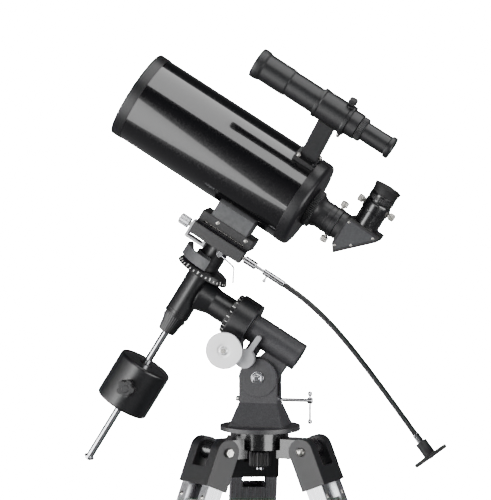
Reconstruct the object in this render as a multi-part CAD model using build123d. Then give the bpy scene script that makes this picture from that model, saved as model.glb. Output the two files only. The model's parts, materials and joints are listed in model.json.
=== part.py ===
from build123d import *

import math
import os

# A small Maksutov telescope on a German equatorial mount and an aluminium tripod.
# Millimetres, +Z up. Everything is built about the middle of the tripod, and written with the origin
# in the middle of the first leg's sole. The polar axis lies in an XZ plane and points up towards -X;
# the tripod is turned about Z by tripod_turn.

# ---- driving dimensions -------------------------------------------------------------------------
running_gap = 0.3            # between curved faces of bodies that move past each other
bearing_gap = 0.05           # radial clearance of a shaft that turns in its bearing
slide_gap = 0.5              # between the telescoping legs

tripod_turn = 17.0           # degrees from +Y to the rear leg, seen from above
leg_splay = 22.0             # leg angle from the vertical
leg_length = 690.0           # pivot to the underside of the foot, along the leg
leg_fold = 10.0              # how far each leg folds inwards
leg_pivot_radius = 73.0
leg_width = 62.0             # across both rails
leg_depth = 24.0
rail_width = 15.0
rail_wall = 1.6
rail_start = 34.0            # from the pivot, along the leg
rail_end = 628.0
extension_start = 70.0
extension_depth = 19.0
extension_wall = 1.6
foot_length = 26.0
clamp_start = 606.0
clamp_end = 652.0
clamp_wall = 3.5
cap_radius = 17.0
cap_wall = 1.0               # outside the rails
cap_end = 50.0
pivot_bolt_radius = 3.0
hub_lug_width = 28.0
hub_radius = 38.0
hub_height = 23.5
hub_top_above_pivot = 22.0
azimuth_bolt_radius = 5.0

brace_pivot_distance = 270.0  # along the leg, from the leg pivot to the brace pivot
brace_pivot_inset = 22.0      # from the leg's centre line towards the middle
brace_rise = 30.0             # brace angle above the horizontal
brace_inner_radius = 32.0     # inner ends of the braces, from the middle
brace_thickness = 8.0
brace_width = 12.0
brace_pin_radius = 2.5
brace_slot_half_height = 7.0
brace_slot_play = 3.4         # how far a pin may drift sideways in its slot
tray_thickness = 4.0
tray_radius = 88.0
eyepiece_bore = 31.75 / 2 + 0.35   # radius of the tray's 1.25-inch holes

flange_radius = 53.0
flange_thickness = 6.0
flare_height = 31.0
post_half_width = 25.5       # along X
post_half_depth = 16.0       # along Y
flare_half_width = 37.0
flare_half_depth = 30.0
latitude_pivot_height = 70.5  # above the hub's top face
fork_gap = 20.0              # between the cheeks
boss_height = 1.5
latitude_bolt_radius = 4.0
t_bolt_radius = 2.4
t_bolt_drop = 30.0           # below the latitude pivot
t_bolt_reach = 66.0          # from the azimuth axis to the handle
t_bolt_gap = 1.0             # between its tip and the heel's tail, which meets it aslant

latitude = 31.5
heel_radius = 24.0
heel_thickness = 19.2
axis_height = 50.0           # latitude pivot to the polar axis
cross_offset = 138.0         # along the polar axis, from the latitude pivot to the declination axis

polar_tube_radius = 19.0
polar_tube_end = 169.0       # from the declination axis down the polar axis
polar_ring_radius = 31.0
polar_ring_start = 66.0
polar_ring_end = 94.0
polar_shaft_radius = 10.0
ra_circle_radius = 28.3
ra_circle_thickness = 6.0
ra_spigot_radius = 21.0
ra_wheel_radius = 28.0
ra_wheel_thickness = 10.0
ra_worm_position = 84.0
ra_worm_drop = 38.5
ra_worm_radius = 10.0
ra_worm_housing_radius = 12.5
ra_casing_half = 24.0
worm_shaft_radius = 3.0
ra_journal_radius = 3.5      # the worm's journals; its free end is 6 mm across
ra_end_length = 18.0
hand_wheel_radius = 24.5
hand_wheel_thickness = 4.0
hand_wheel_reach = 44.0
ra_clamp_position = 111.0
ra_clamp_drop = 35.5
ra_clamp_radius = 13.0

dec_tube_radius = 16.8
dec_tube_top = 24.0
dec_tube_bottom = 42.0
collar_bottom = 68.0
collar_top_radius = 15.0
collar_bottom_radius = 11.5
dec_shaft_radius = 8.0
dec_circle_radius = 37.0
dec_circle_height = 8.0
dec_spigot_radius = 14.0
dec_neck_start = 34.0
dec_neck_radius = 17.0
index_radius = 36.6
index_top = 50.0
worm_block_bottom = 68.0
saddle_bottom = 84.0
saddle_top = 100.0
saddle_half_length = 39.5
saddle_half_width = 20.0
dec_worm_height = 76.0
dec_worm_offset = 25.5       # from the declination axis towards -Y
dec_worm_radius = 6.5
dec_wheel_radius = 18.5
dec_wheel_thickness = 8.0
worm_block_half_length = 39.0
dec_lock_seat = 17.0         # from the axis to the clamp screw's seat

bar_radius = 5.0
bar_end = 267.0
weight_radius = 36.5
weight_length = 66.0
weight_top = 119.5

tube_radius = 60.0
tube_height = saddle_top + 18 + tube_radius   # declination axis crossing to the optical axis
tube_wall = 1.2
tube_front = 184.0
tube_rear = 58.0
front_cell_front = 199.0
rear_cell_rear = 76.0
aperture = 1.7 * tube_radius
foot_half_length = 27.5
foot_half_width = 19.0
visual_ring_radius = 26.0
visual_ring_length = 10.5
adapter_radius = 20.6
adapter_end = 119.0
barrel_radius = 31.75 / 2    # 1.25-inch fittings
holder_position = 151.0
holder_radius = 17.4
holder_top = 232.0
holder_seat = 17.5           # above the optical axis
diagonal_half_width = 19.0
eyepiece_top = 254.5
eyecup_radius = 19.4
focus_knob_offset = 40.0
focus_knob_radius = 9.0

finder_clock = 25.0          # degrees from the top of the tube towards -Y
finder_distance = tube_radius + 87   # optical axis to the finder's axis
finder_front = 75.0
finder_rear = 135.0
finder_tube_radius = 17.9
finder_ring_radius = 21.0
finder_ring_front = -21.0
finder_ring_rear = -69.0
stem_position = -44.0
stem_width = 24.0
stem_thickness = 12.0

cable_diameter = 7.6

os.makedirs("parts", exist_ok=True)

# ---- frames -------------------------------------------------------------------------------------
leg_pivot_height = leg_length * math.cos(math.radians(leg_splay))
hub_top = leg_pivot_height + hub_top_above_pivot
pivot_height = hub_top + latitude_pivot_height
first_leg = math.radians(90 + tripod_turn)
sole_radius = leg_pivot_radius + leg_length * math.sin(math.radians(leg_splay))
sole = Vector(math.cos(first_leg), math.sin(first_leg), 0) * sole_radius
lean = math.radians(latitude)
polar = Vector(-math.cos(lean), 0, math.sin(lean))       # towards the pole
dec = Vector(math.sin(lean), 0, math.cos(lean))          # up the declination axis
side = Vector(0, 1, 0)
crossing = Vector(0, 0, pivot_height) + polar * cross_offset + dec * axis_height


def head_point(up, across, along):
    """A point from the crossing of the axes: up the declination axis, along +Y, up the polar axis."""
    return crossing + dec * up + side * across + polar * along


def on_polar(along, up=0.0, across=0.0):
    """Local Z runs up the polar axis and local X up the declination axis."""
    return Plane(head_point(up, across, along), x_dir=dec, z_dir=polar).location


def on_dec(up, along=0.0, across=0.0):
    """Local Z runs up the declination axis and local X up the polar axis; local Y is -Y."""
    return Plane(head_point(up, across, along), x_dir=polar, z_dir=dec).location


def on_side(across, up=0.0, along=0.0):
    """Local Z runs along -Y and local X up the declination axis."""
    return Plane(head_point(up, across, along), x_dir=dec, z_dir=-side).location


def rod(radius, bottom, top):
    """A cylinder about local Z between two heights."""
    return Pos(0, 0, (bottom + top) / 2) * Cylinder(radius, abs(top - bottom))


def cone(bottom_radius, top_radius, bottom, top):
    return Pos(0, 0, (bottom + top) / 2) * Cone(bottom_radius, top_radius, top - bottom)


def block(x_low, x_high, y_low, y_high, z_low, z_high):
    size = (x_high - x_low, y_high - y_low, z_high - z_low)
    return Pos((x_low + x_high) / 2, (y_low + y_high) / 2, (z_low + z_high) / 2) * Box(*size)


def knurled(radius, bottom, top, teeth=24, depth=0.6):
    """A knob with straight grooves round its rim."""
    body = rod(radius, bottom, top)
    for index in range(teeth):
        groove = Rot(0, 0, index * 360 / teeth) * Pos(radius, 0, 0) * rod(depth, bottom - 1, top + 1)
        body -= groove
    return body


def ridged_wheel(radius, thickness, teeth, depth):
    """A worm wheel: a disc whose rim carries shallow hollows."""
    wheel = rod(radius, -thickness / 2, thickness / 2)
    for index in range(teeth):
        wheel -= Rot(0, 0, index * 360 / teeth) * Pos(radius + depth / 2, 0, 0) * \
            rod(depth, -thickness, thickness)
    return wheel


def write(name, *pieces):
    solids = []
    for piece in pieces:
        solids += piece.solids()
    solids = [Pos(-sole.X, -sole.Y, 0) * solid for solid in solids]
    shape = solids[0] if len(solids) == 1 else Compound(children=solids)
    shape.label = name
    export_step(shape, f"parts/{name}.step")


# ---- tripod -------------------------------------------------------------------------------------
splay = math.radians(leg_splay)
leg_angles = [90 + tripod_turn + step * 120 for step in range(3)]


def leg_frame(angle):
    """Local Z runs down the leg from its pivot, local Y across the leg, local X towards the middle."""
    turn = math.radians(angle)
    radial = Vector(math.cos(turn), math.sin(turn), 0)
    down = radial * math.sin(splay) + Vector(0, 0, -math.cos(splay))
    inward = radial * -math.cos(splay) + Vector(0, 0, -math.sin(splay))
    pivot = radial * leg_pivot_radius + Vector(0, 0, leg_pivot_height)
    return Plane(pivot, x_dir=inward, z_dir=down).location


def make_hub():
    top = hub_top
    hub = rod(hub_radius, top - hub_height, top)
    lug_radius = 13.0
    for angle in leg_angles:
        lug = block(hub_radius - 8, leg_pivot_radius, -hub_lug_width / 2, hub_lug_width / 2,
                    leg_pivot_height - lug_radius, leg_pivot_height + lug_radius)
        lug += Pos(leg_pivot_radius, 0, leg_pivot_height) * Rot(90, 0, 0) * \
            Cylinder(lug_radius, hub_lug_width)
        lug -= Pos(leg_pivot_radius, 0, leg_pivot_height) * Rot(90, 0, 0) * \
            Cylinder(pivot_bolt_radius + bearing_gap, hub_lug_width + 2)
        hub += Rot(0, 0, angle) * lug
    hub -= rod(azimuth_bolt_radius + bearing_gap, top - 60, top + 10)
    return hub


def make_leg_bolts():
    """Each leg hangs on a bolt with a domed head and a lock nut."""
    half = leg_width / 2 + cap_wall
    bolts = []
    for angle in leg_angles:
        bolt = rod(pivot_bolt_radius, -half - 6, half + 1)
        head = rod(6.0, half, half + 4.0)
        nut = Pos(0, 0, -half - 5.0) * extrude(RegularPolygon(6.0, 6), 5.0)
        bolt = bolt + head + nut
        bolts.append(leg_frame(angle) * Rot(90, 0, 0) * bolt)
    return bolts


def make_leg_cap():
    """The black cap: two cheeks on the pivot and a solid end that holds both rails."""
    half = leg_width / 2 + cap_wall
    bar = block(-cap_radius, cap_radius, -half, half, 0, cap_end)
    bar += Rot(90, 0, 0) * Cylinder(cap_radius, 2 * half)
    notch_half = hub_lug_width / 2 + slide_gap
    bar -= block(-cap_radius - 1, cap_radius + 1, -notch_half, notch_half, -cap_radius - 1, 26)
    pocket = block(-leg_depth / 2, leg_depth / 2, -leg_width / 2, leg_width / 2, rail_start, cap_end + 1)
    bar -= pocket
    bar -= Rot(90, 0, 0) * Cylinder(pivot_bolt_radius + bearing_gap, 2 * half + 2)
    return bar


def make_rail(sign):
    """A C-shaped rail, open towards the middle of the leg."""
    outer = leg_width / 2
    inner = outer - rail_width
    rail = block(-leg_depth / 2, leg_depth / 2, inner, outer, rail_start, rail_end)
    rail -= block(-leg_depth / 2 + rail_wall, leg_depth / 2 - rail_wall, inner - 1, outer - rail_wall,
                  rail_start - 1, rail_end + 1)
    return rail if sign > 0 else mirror(rail, about=Plane.XZ)


def make_clamp():
    """The black sleeve at the lower end of the rails, with a boss for its knob on the outer side."""
    half = leg_width / 2 + clamp_wall
    deep = leg_depth / 2 + clamp_wall
    sleeve = block(-deep, deep, -half, half, clamp_start, clamp_end)
    sleeve -= block(-leg_depth / 2, leg_depth / 2, -leg_width / 2, leg_width / 2,
                    clamp_start - 1, rail_end)
    guide = extension_depth / 2 + slide_gap
    across = leg_width / 2 - rail_width + slide_gap
    sleeve -= block(-guide, guide, -across, across, rail_end - 1, clamp_end + 1)
    middle = (clamp_start + clamp_end) / 2
    boss = Pos(-deep - 3, 0, middle) * Rot(0, 90, 0) * Cylinder(9, 8)
    sleeve += boss
    sleeve -= Pos(-deep, 0, middle) * Rot(0, 90, 0) * Cylinder(3.0 + bearing_gap, 30)
    return sleeve


def make_brace_lug():
    """A cross block on the rails' inner faces with an eye for the brace."""
    face = leg_depth / 2
    lug = block(face, face + 4, -leg_width / 2, leg_width / 2,
                brace_pivot_distance - 12, brace_pivot_distance + 12)
    for sign in (-1, 1):
        low = min(sign * (brace_thickness / 2 + slide_gap), sign * (brace_thickness / 2 + 4.5))
        cheek = block(face, brace_pivot_inset, low, low + 4,
                      brace_pivot_distance - 6, brace_pivot_distance + 6)
        cheek += Pos(brace_pivot_inset, low + 2, brace_pivot_distance) * Rot(90, 0, 0) * Cylinder(6, 4)
        lug += cheek
    lug -= Pos(brace_pivot_inset, 0, brace_pivot_distance) * Rot(90, 0, 0) * \
        Cylinder(brace_pin_radius + bearing_gap, 40)
    lug -= block(face + 4, brace_pivot_inset + 8, -brace_thickness / 2 - slide_gap,
                 brace_thickness / 2 + slide_gap, brace_pivot_distance - 8, brace_pivot_distance + 8)
    return lug


def make_extension():
    """The inner leg: one hollow section with a plug for the clamp screw to press on."""
    half = leg_width / 2 - rail_width - slide_gap
    deep = extension_depth / 2
    top = extension_start
    low = leg_length - foot_length
    tube = block(-deep, deep, -half, half, top, low)
    tube -= block(-deep + extension_wall, deep - extension_wall, -half + extension_wall,
                  half - extension_wall, top - 1, low + 1)
    return tube


def make_foot(location):
    """A rubber foot whose sole is level with the floor."""
    half = leg_width / 2 - rail_width + 2
    deep = extension_depth / 2 + 2
    foot = block(-deep, deep, -half, half, leg_length - foot_length - 10, leg_length + 20)
    foot -= block(-extension_depth / 2, extension_depth / 2, -half + 2 + slide_gap, half - 2 - slide_gap,
                  leg_length - foot_length - 11, leg_length - foot_length)
    foot = location * foot
    return foot & block(-700, 700, -700, 700, 0, 200)


def make_clamp_knob():
    deep = leg_depth / 2 + clamp_wall
    middle = (clamp_start + clamp_end) / 2
    outer_face = deep + 7
    knob = rod(11.0, 0, 12)
    for index in range(3):
        knob += Rot(0, 0, index * 120) * Pos(9.0, 0, 6) * Cylinder(6.0, 12)
    knob += rod(3.0, -12.4, 1)
    return Pos(-outer_face - running_gap, 0, middle) * Rot(0, -90, 0) * knob


def brace_geometry(fold):
    """Radius and height of the outer pin, and the brace's length and rise, with the legs folded."""
    tilt = math.radians(leg_splay - fold)
    outer_radius = leg_pivot_radius + brace_pivot_distance * math.sin(tilt) - \
        brace_pivot_inset * math.cos(tilt)
    outer_height = leg_pivot_height - brace_pivot_distance * math.cos(tilt) - \
        brace_pivot_inset * math.sin(tilt)
    return outer_radius, outer_height


rest_radius, rest_height = brace_geometry(0)
brace_length = (rest_radius - brace_inner_radius) / math.cos(math.radians(brace_rise))
inner_height = rest_height + brace_length * math.sin(math.radians(brace_rise))
fold_radius, fold_height = brace_geometry(leg_fold)
fold_rise = math.degrees(math.acos((fold_radius - brace_inner_radius) / brace_length))
fold_inner_height = fold_height + brace_length * math.sin(math.radians(fold_rise))
brace_ratio = (fold_rise - brace_rise) / leg_fold - 1
tray_ratio = (fold_inner_height - inner_height) / 1000 / math.radians(leg_fold)


def make_brace(angle):
    """A flat bar with an eye at each end and its two pins."""
    eye = brace_width / 2
    bar = block(0, brace_length, -brace_thickness / 2, brace_thickness / 2, -eye, eye)
    for end in (0, brace_length):
        bar += Pos(end, 0, 0) * Rot(90, 0, 0) * Cylinder(eye, brace_thickness)
    bar += Rot(90, 0, 0) * Cylinder(brace_pin_radius, brace_thickness + 10)
    bar += Pos(brace_length, 0, 0) * Rot(90, 0, 0) * Cylinder(brace_pin_radius, brace_thickness + 10)
    turn = math.radians(angle)
    radial = Vector(math.cos(turn), math.sin(turn), 0)
    rise = math.radians(brace_rise)
    towards = radial * -math.cos(rise) + Vector(0, 0, math.sin(rise))
    normal = radial * math.sin(rise) + Vector(0, 0, math.cos(rise))
    start = radial * rest_radius + Vector(0, 0, rest_height)
    return Plane(start, x_dir=towards, z_dir=normal).location * bar


def make_tray_bracket():
    """The centre piece: a disc with three slotted forks for the inner brace pins."""
    top = inner_height + brace_slot_half_height + 5
    bottom = inner_height - brace_slot_half_height - 5
    bracket = rod(16.0, bottom, top)
    cheek_low = brace_thickness / 2 + slide_gap
    for angle in leg_angles:
        for sign in (-1, 1):
            low = min(sign * cheek_low, sign * (cheek_low + 4))
            cheek = block(4, brace_inner_radius + 9, low, low + 4, bottom, top)
            slot = Pos(brace_inner_radius, low + 2, inner_height) * \
                Box(2 * (brace_pin_radius + brace_slot_play), 6, 2 * brace_slot_half_height)
            bracket += Rot(0, 0, angle) * (cheek - slot)
    for angle in leg_angles:
        gap = block(15, brace_inner_radius + 10, -cheek_low, cheek_low, bottom - 1, top + 1)
        bracket -= Rot(0, 0, angle) * gap
    bracket -= rod(3.0 + bearing_gap, bottom - 1, top + 1)
    return bracket


def make_tray():
    """A three-lobed tray with six eyepiece holes and the screw that holds it down."""
    top = inner_height + brace_slot_half_height + 5
    tray = rod(30.0, top, top + tray_thickness)
    for angle in leg_angles:
        middle = angle + 60
        lobe = Rot(0, 0, middle) * Pos(tray_radius - 30, 0, top + tray_thickness / 2) * \
            Cylinder(34.0, tray_thickness)
        tray += lobe
        tray -= Rot(0, 0, middle) * Pos(tray_radius - 30, 0, top) * rod(eyepiece_bore, -1, 10)
    screw = rod(3.0, top - 20, top + 6) + knurled(9.0, top + tray_thickness, top + tray_thickness + 10)
    return tray - rod(3.0 + bearing_gap, top - 1, top + 6), screw


def make_azimuth_knob():
    under = hub_top - hub_height
    knob = knurled(14.3, under - 26, under - 4, teeth=12, depth=2.0)
    knob += rod(8.0, under - 4, under - 0.2)
    knob += rod(azimuth_bolt_radius, under - 30, hub_top + 14)
    return knob


write("tripod_hub", make_hub())
write("leg_bolts", *make_leg_bolts())
for number, leg_angle in enumerate(leg_angles, start=1):
    place = leg_frame(leg_angle)
    write(f"leg_fittings_{number}", place * make_leg_cap(), place * make_clamp(),
          place * make_brace_lug())
    write(f"leg_rails_{number}", place * make_rail(1), place * make_rail(-1))
    write(f"leg_extension_{number}", place * make_extension(), make_foot(place))
    write(f"leg_clamp_knob_{number}", place * make_clamp_knob())
    write(f"brace_arm_{number}", make_brace(leg_angle))
write("tray_bracket", make_tray_bracket())
write("accessory_tray", *make_tray())
write("azimuth_lock_knob", make_azimuth_knob())

# ---- azimuth base and latitude adjustment --------------------------------------------------------
pocket_half = 17.0
pocket_top = -25.0           # from the latitude pivot
pocket_bottom = -40.0
tail_half = 7.0
tail_bottom = -36.0


def make_azimuth_base():
    """A flange, a flared post and a fork whose cheeks carry the latitude pivot."""
    flange_top = hub_top + flange_thickness
    base = rod(flange_radius, hub_top, flange_top)
    lower = Plane.XY.offset(flange_top) * Rectangle(2 * flare_half_width, 2 * flare_half_depth)
    upper = Plane.XY.offset(flange_top + flare_height) * \
        Rectangle(2 * post_half_width, 2 * post_half_depth)
    base += loft([lower, upper])
    base += block(-post_half_width, post_half_width, -post_half_depth, post_half_depth,
                  flange_top + flare_height - 1, pivot_height)
    base += Pos(0, 0, pivot_height) * Rot(90, 0, 0) * \
        Cylinder(post_half_width, 2 * (post_half_depth + boss_height))
    gap = fork_gap / 2
    base -= block(-60, 60, -gap, gap, pivot_height + pocket_top, pivot_height + 60)
    base -= block(-pocket_half, pocket_half, -gap, gap, pivot_height + pocket_bottom,
                  pivot_height + pocket_top + 1)
    base -= Pos(0, 0, pivot_height) * Rot(90, 0, 0) * \
        Cylinder(latitude_bolt_radius + bearing_gap, 60)
    base -= Pos(30, 0, pivot_height - t_bolt_drop) * Rot(0, 90, 0) * \
        Cylinder(t_bolt_radius + bearing_gap, 40)
    base -= Pos(-26, 0, pivot_height - t_bolt_drop) * Rot(0, 90, 0) * Cylinder(t_bolt_radius, 20)
    base -= rod(azimuth_bolt_radius + bearing_gap, hub_top - 1, hub_top + 14.2)
    return base


def make_latitude_pivot():
    """The pivot bolt with its nut and washers, and the set screw opposite the T-bolt."""
    face = post_half_depth + boss_height
    bolt = rod(latitude_bolt_radius, -face - 8, face + 6)
    bolt += rod(8.0, -face - 7, -face)
    nut = rod(8.5, face, face + 1.6) + Pos(0, 0, face + 1.6) * extrude(RegularPolygon(6.8, 6), 5.5)
    pivot = Pos(0, 0, pivot_height) * Rot(90, 0, 0) * (bolt + nut)
    screw = Pos(-25.5, 0, pivot_height - t_bolt_drop) * Rot(0, 90, 0) * Cylinder(t_bolt_radius, 14)
    screw += Pos(-30.5, 0, pivot_height - t_bolt_drop) * Rot(0, 90, 0) * Cylinder(3.6, 4)
    return pivot, screw


def make_t_bolt():
    """A screw with a cross handle that ends in two balls."""
    height = pivot_height - t_bolt_drop
    tip = tail_half + t_bolt_gap
    bolt = Pos((tip + t_bolt_reach) / 2, 0, height) * Rot(0, 90, 0) * \
        Cylinder(t_bolt_radius, t_bolt_reach - tip)
    bolt += Pos(t_bolt_reach + 1, 0, height) * Rot(0, 90, 0) * Cylinder(4.2, 7)
    bolt += Pos(t_bolt_reach + 1, 0, height) * rod(1.7, -27, 8)
    bolt += Pos(t_bolt_reach + 1, 0, height + 9) * Sphere(3.4)
    bolt += Pos(t_bolt_reach + 1, 0, height - 28) * Sphere(3.4)
    return bolt


write("azimuth_base", make_azimuth_base())
write("latitude_pivot", *make_latitude_pivot())
write("latitude_t_bolt", make_t_bolt())


# ---- polar axis ---------------------------------------------------------------------------------
def make_polar_housing():
    """The casting on the latitude pivot: heel, bearing tube, worm-wheel ring and worm housing."""
    inside = polar_ring_start + 6
    ring_back = polar_ring_end - 4
    housing = rod(polar_tube_radius, -polar_tube_end, -polar_ring_end + 1)
    housing += rod(polar_ring_radius, -polar_ring_end, -polar_ring_start)
    housing += rod(ra_spigot_radius, -polar_ring_start, -polar_ring_start + ra_circle_thickness)
    housing = on_polar(0) * housing
    worm_casing = rod(ra_worm_housing_radius, -ra_casing_half, ra_casing_half)
    housing += on_side(0, -ra_worm_drop, -ra_worm_position) * worm_casing
    half = heel_thickness / 2
    web = Polyline((-polar_tube_end + 8, -polar_tube_radius + 4), (-128, -polar_tube_radius + 4),
                   (-cross_offset + heel_radius - 1, -axis_height), (-cross_offset - heel_radius + 3,
                   -axis_height - 4), close=True)
    plate = extrude(make_face(web), half, both=True)
    plate += Pos(-cross_offset, -axis_height, 0) * Cylinder(heel_radius, heel_thickness)
    lug = Pos(-ra_clamp_position, -ra_clamp_drop / 2 - 4, 0) * Box(16, ra_clamp_drop - 2, heel_thickness)
    lug += Pos(-ra_clamp_position, -ra_clamp_drop, 0) * Cylinder(8, heel_thickness)
    plate += lug
    housing += Plane(crossing, x_dir=polar, z_dir=side).location * plate
    tail = Pos(0, 0, pivot_height) * block(-tail_half, tail_half, -half, half, tail_bottom, 0)
    housing += tail
    bore = rod(polar_shaft_radius + bearing_gap, -polar_tube_end - 1, -polar_ring_start + 10)
    bore += rod(ra_wheel_radius + running_gap, -ring_back, -inside)
    housing -= on_polar(0) * bore
    worm_space = rod(ra_worm_radius + running_gap, -17, 17)
    worm_space += rod(ra_journal_radius + bearing_gap, -30, 30)
    housing -= on_side(0, -ra_worm_drop, -ra_worm_position) * worm_space
    housing -= Pos(0, 0, pivot_height) * Rot(90, 0, 0) * \
        Cylinder(latitude_bolt_radius + bearing_gap, 60)
    housing -= on_side(0, -ra_clamp_drop, -ra_clamp_position) * rod(3.0 + bearing_gap, -2, 30)
    return housing


def make_worm_wheel(radius, thickness, bore):
    return ridged_wheel(radius, thickness, 60, 0.8) - rod(bore + bearing_gap, -20, 20)


def make_worm(radius, half_length, pitch):
    """A worm: a ribbed cylinder whose ribs are the thread."""
    worm = rod(radius - 1.2, -half_length, half_length)
    count = int(2 * half_length / pitch)
    for index in range(count):
        height = -half_length + (index + 0.5) * pitch
        worm += cone(radius - 1.2, radius, height - 0.9, height)
        worm += cone(radius, radius - 1.2, height, height + 0.9)
    return worm


def make_ra_worm():
    worm = make_worm(ra_worm_radius - 0.2, 15, 3.0)
    worm += rod(ra_journal_radius, -ra_casing_half, hand_wheel_reach - 14)
    worm += rod(worm_shaft_radius, hand_wheel_reach - 15, hand_wheel_reach + 6)
    worm += rod(worm_shaft_radius, -ra_casing_half - ra_end_length, -ra_casing_half)
    return on_side(0, -ra_worm_drop, -ra_worm_position) * worm


def make_hand_wheel():
    """A plain bright disc with a turned boss and a screw in the middle."""
    wheel = rod(hand_wheel_radius, hand_wheel_reach - hand_wheel_thickness, hand_wheel_reach)
    wheel += rod(8.0, hand_wheel_reach - 14, hand_wheel_reach - hand_wheel_thickness + 1)
    wheel += cone(5.5, 4.5, hand_wheel_reach - 0.01, hand_wheel_reach + 3)
    wheel = chamfer(wheel.edges().filter_by(GeomType.CIRCLE).sort_by(SortBy.RADIUS)[-2:], 0.6)
    wheel -= rod(worm_shaft_radius, hand_wheel_reach - 20, hand_wheel_reach + 6)
    return on_side(0, -ra_worm_drop, -ra_worm_position) * wheel


def make_ra_lock():
    """A round clamp boss with its lever, in front of the fork's cheek."""
    front = post_half_depth + boss_height + 2
    lever = rod(ra_clamp_radius, front, front + 11)
    lever += rod(3.0, 0, front + 1)
    arm = block(8, 33, -3.5, 3.5, front + 5, front + 10)
    arm += Pos(33, 0, 0) * rod(3.5, front + 5, front + 10)
    lever += Rot(0, 0, -3) * arm
    return on_side(0, -ra_clamp_drop, -ra_clamp_position) * lever


def make_ra_circle():
    circle = rod(ra_circle_radius, -polar_ring_start, -polar_ring_start + ra_circle_thickness)
    circle -= rod(ra_spigot_radius + running_gap, -polar_ring_start - 1, -polar_ring_start + 10)
    return on_polar(0) * circle


def make_polar_shaft():
    return on_polar(0) * rod(polar_shaft_radius, -polar_tube_end + 6, -20)


write("polar_housing", make_polar_housing())
write("ra_worm_wheel", on_polar(-(polar_ring_start + polar_ring_end + 2) / 2) *
      make_worm_wheel(ra_wheel_radius, ra_wheel_thickness, polar_shaft_radius))
write("ra_worm", make_ra_worm())
write("ra_hand_wheel", make_hand_wheel())
write("ra_lock_lever", make_ra_lock())
write("ra_setting_circle", make_ra_circle())
write("polar_shaft", make_polar_shaft())


# ---- declination axis ---------------------------------------------------------------------------
def make_dec_housing():
    """The T-shaped casting: declination tube, collar for the bar, and the neck of the polar axis."""
    neck_end = polar_ring_start - ra_circle_thickness
    tube = rod(dec_tube_radius, -dec_tube_bottom, dec_tube_top)
    tube += cone(collar_bottom_radius, collar_top_radius, -collar_bottom, -dec_tube_bottom)
    tube += rod(dec_spigot_radius, dec_tube_top, dec_neck_start - running_gap)
    housing = on_dec(0) * tube
    neck = rod(18.35, -neck_end, -12) + cone(18.35, 24.0, -34, -14)
    housing += on_polar(0) * neck
    housing -= on_dec(0) * rod(dec_shaft_radius + bearing_gap, -30, 60)
    housing -= on_dec(0) * rod(bar_radius, -90, -30)
    housing -= on_polar(0) * rod(polar_shaft_radius, -80, -20)
    return housing


def make_dec_circle():
    """A shallow conical ring."""
    bottom = dec_tube_top + 0.5
    ring = cone(dec_circle_radius, dec_circle_radius - 4, bottom, bottom + dec_circle_height)
    ring -= rod(dec_spigot_radius + running_gap, bottom - 1, bottom + 20)
    return on_dec(0) * ring


def make_index_bracket():
    """A horned collar over part of the circle, hollowed on its upper side."""
    bottom = dec_neck_start + 1
    profile = make_face(Polyline((dec_neck_radius, bottom), (index_radius, bottom),
                                 (index_radius, index_top), (index_radius - 3, index_top),
                                 (index_radius - 9, bottom + 7), (dec_neck_radius + 4, bottom + 6),
                                 (dec_neck_radius + 3, index_top), (dec_neck_radius, index_top),
                                 close=True))
    horn = revolve(Plane.XZ * profile, Axis.Z, 120)
    return on_dec(0) * Rot(0, 0, -20) * horn


def make_worm_block():
    """The turning head: neck, wheel case and the block that houses the slow-motion worm."""
    block_high = saddle_bottom
    head = rod(dec_neck_radius, dec_neck_start, worm_block_bottom + 1)
    head += rod(24.0, worm_block_bottom, block_high)
    length = worm_block_half_length
    head += block(-length, length, dec_worm_offset - 9, dec_worm_offset + 9,
                  worm_block_bottom, block_high)
    head += block(-22, 22, 0, dec_worm_offset, worm_block_bottom, block_high)
    middle = dec_worm_height
    head -= rod(dec_wheel_radius + running_gap, middle - dec_wheel_thickness / 2 - running_gap,
                middle + dec_wheel_thickness / 2 + running_gap)
    head -= rod(dec_shaft_radius, dec_neck_start - 1, block_high + 1)
    worm_line = Pos(0, dec_worm_offset, dec_worm_height) * Rot(0, 90, 0)
    head -= worm_line * rod(dec_worm_radius + running_gap, -16, 16)
    head -= worm_line * rod(worm_shaft_radius + bearing_gap, -length - 1, length + 1)
    head = on_dec(0) * head
    head += dec_lock_place * rod(4.0, 8.0, dec_lock_seat)
    return head - dec_lock_place * rod(2.0 + bearing_gap, dec_lock_seat - 5.5, dec_lock_seat + 1)


def make_worm_bracket():
    """A pressed angle that steadies the free end of the worm."""
    length = worm_block_half_length
    plate = block(length, length + 3, dec_worm_offset - 10, dec_worm_offset + 8, 60, 84)
    plate -= Pos(0, dec_worm_offset, dec_worm_height) * Rot(0, 90, 0) * \
        rod(worm_shaft_radius + bearing_gap, 0, 60)
    plate += block(13, length + 3, dec_worm_offset - 10, dec_worm_offset + 8, 60, 63)
    plate += block(13, 16, dec_worm_offset - 10, dec_worm_offset + 8, 60, worm_block_bottom)
    return on_dec(0) * plate


def make_dec_worm():
    """The worm on its shaft, with the knurled knob on its free end."""
    worm = make_worm(dec_worm_radius - 0.2, 14, 2.4)
    worm += rod(worm_shaft_radius, -52, 46)
    worm += knurled(7.5, 44.5, 60, teeth=20)
    return on_dec(0) * Pos(0, dec_worm_offset, dec_worm_height) * Rot(0, 90, 0) * worm


def make_dec_shaft():
    shaft = rod(dec_shaft_radius, -28, saddle_bottom)
    return on_dec(0) * shaft


dec_lock_place = Plane(head_point(62.5, 0, -10), x_dir=polar, z_dir=-side).location


def make_dec_lock():
    """A clamp screw with a bent wire lever."""
    seat = dec_lock_seat
    screw = rod(4.0, seat, seat + 7) + rod(2.0, seat - 5, seat + 1)
    path = FilletPolyline((0, 0, seat + 4), (-25, 4.5, seat + 5), (-35, 23, seat + 5), radius=6)
    wire = sweep(Plane(path @ 0, z_dir=path % 0) * Circle(1.3), path=path)
    return dec_lock_place * (screw + wire)


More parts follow.
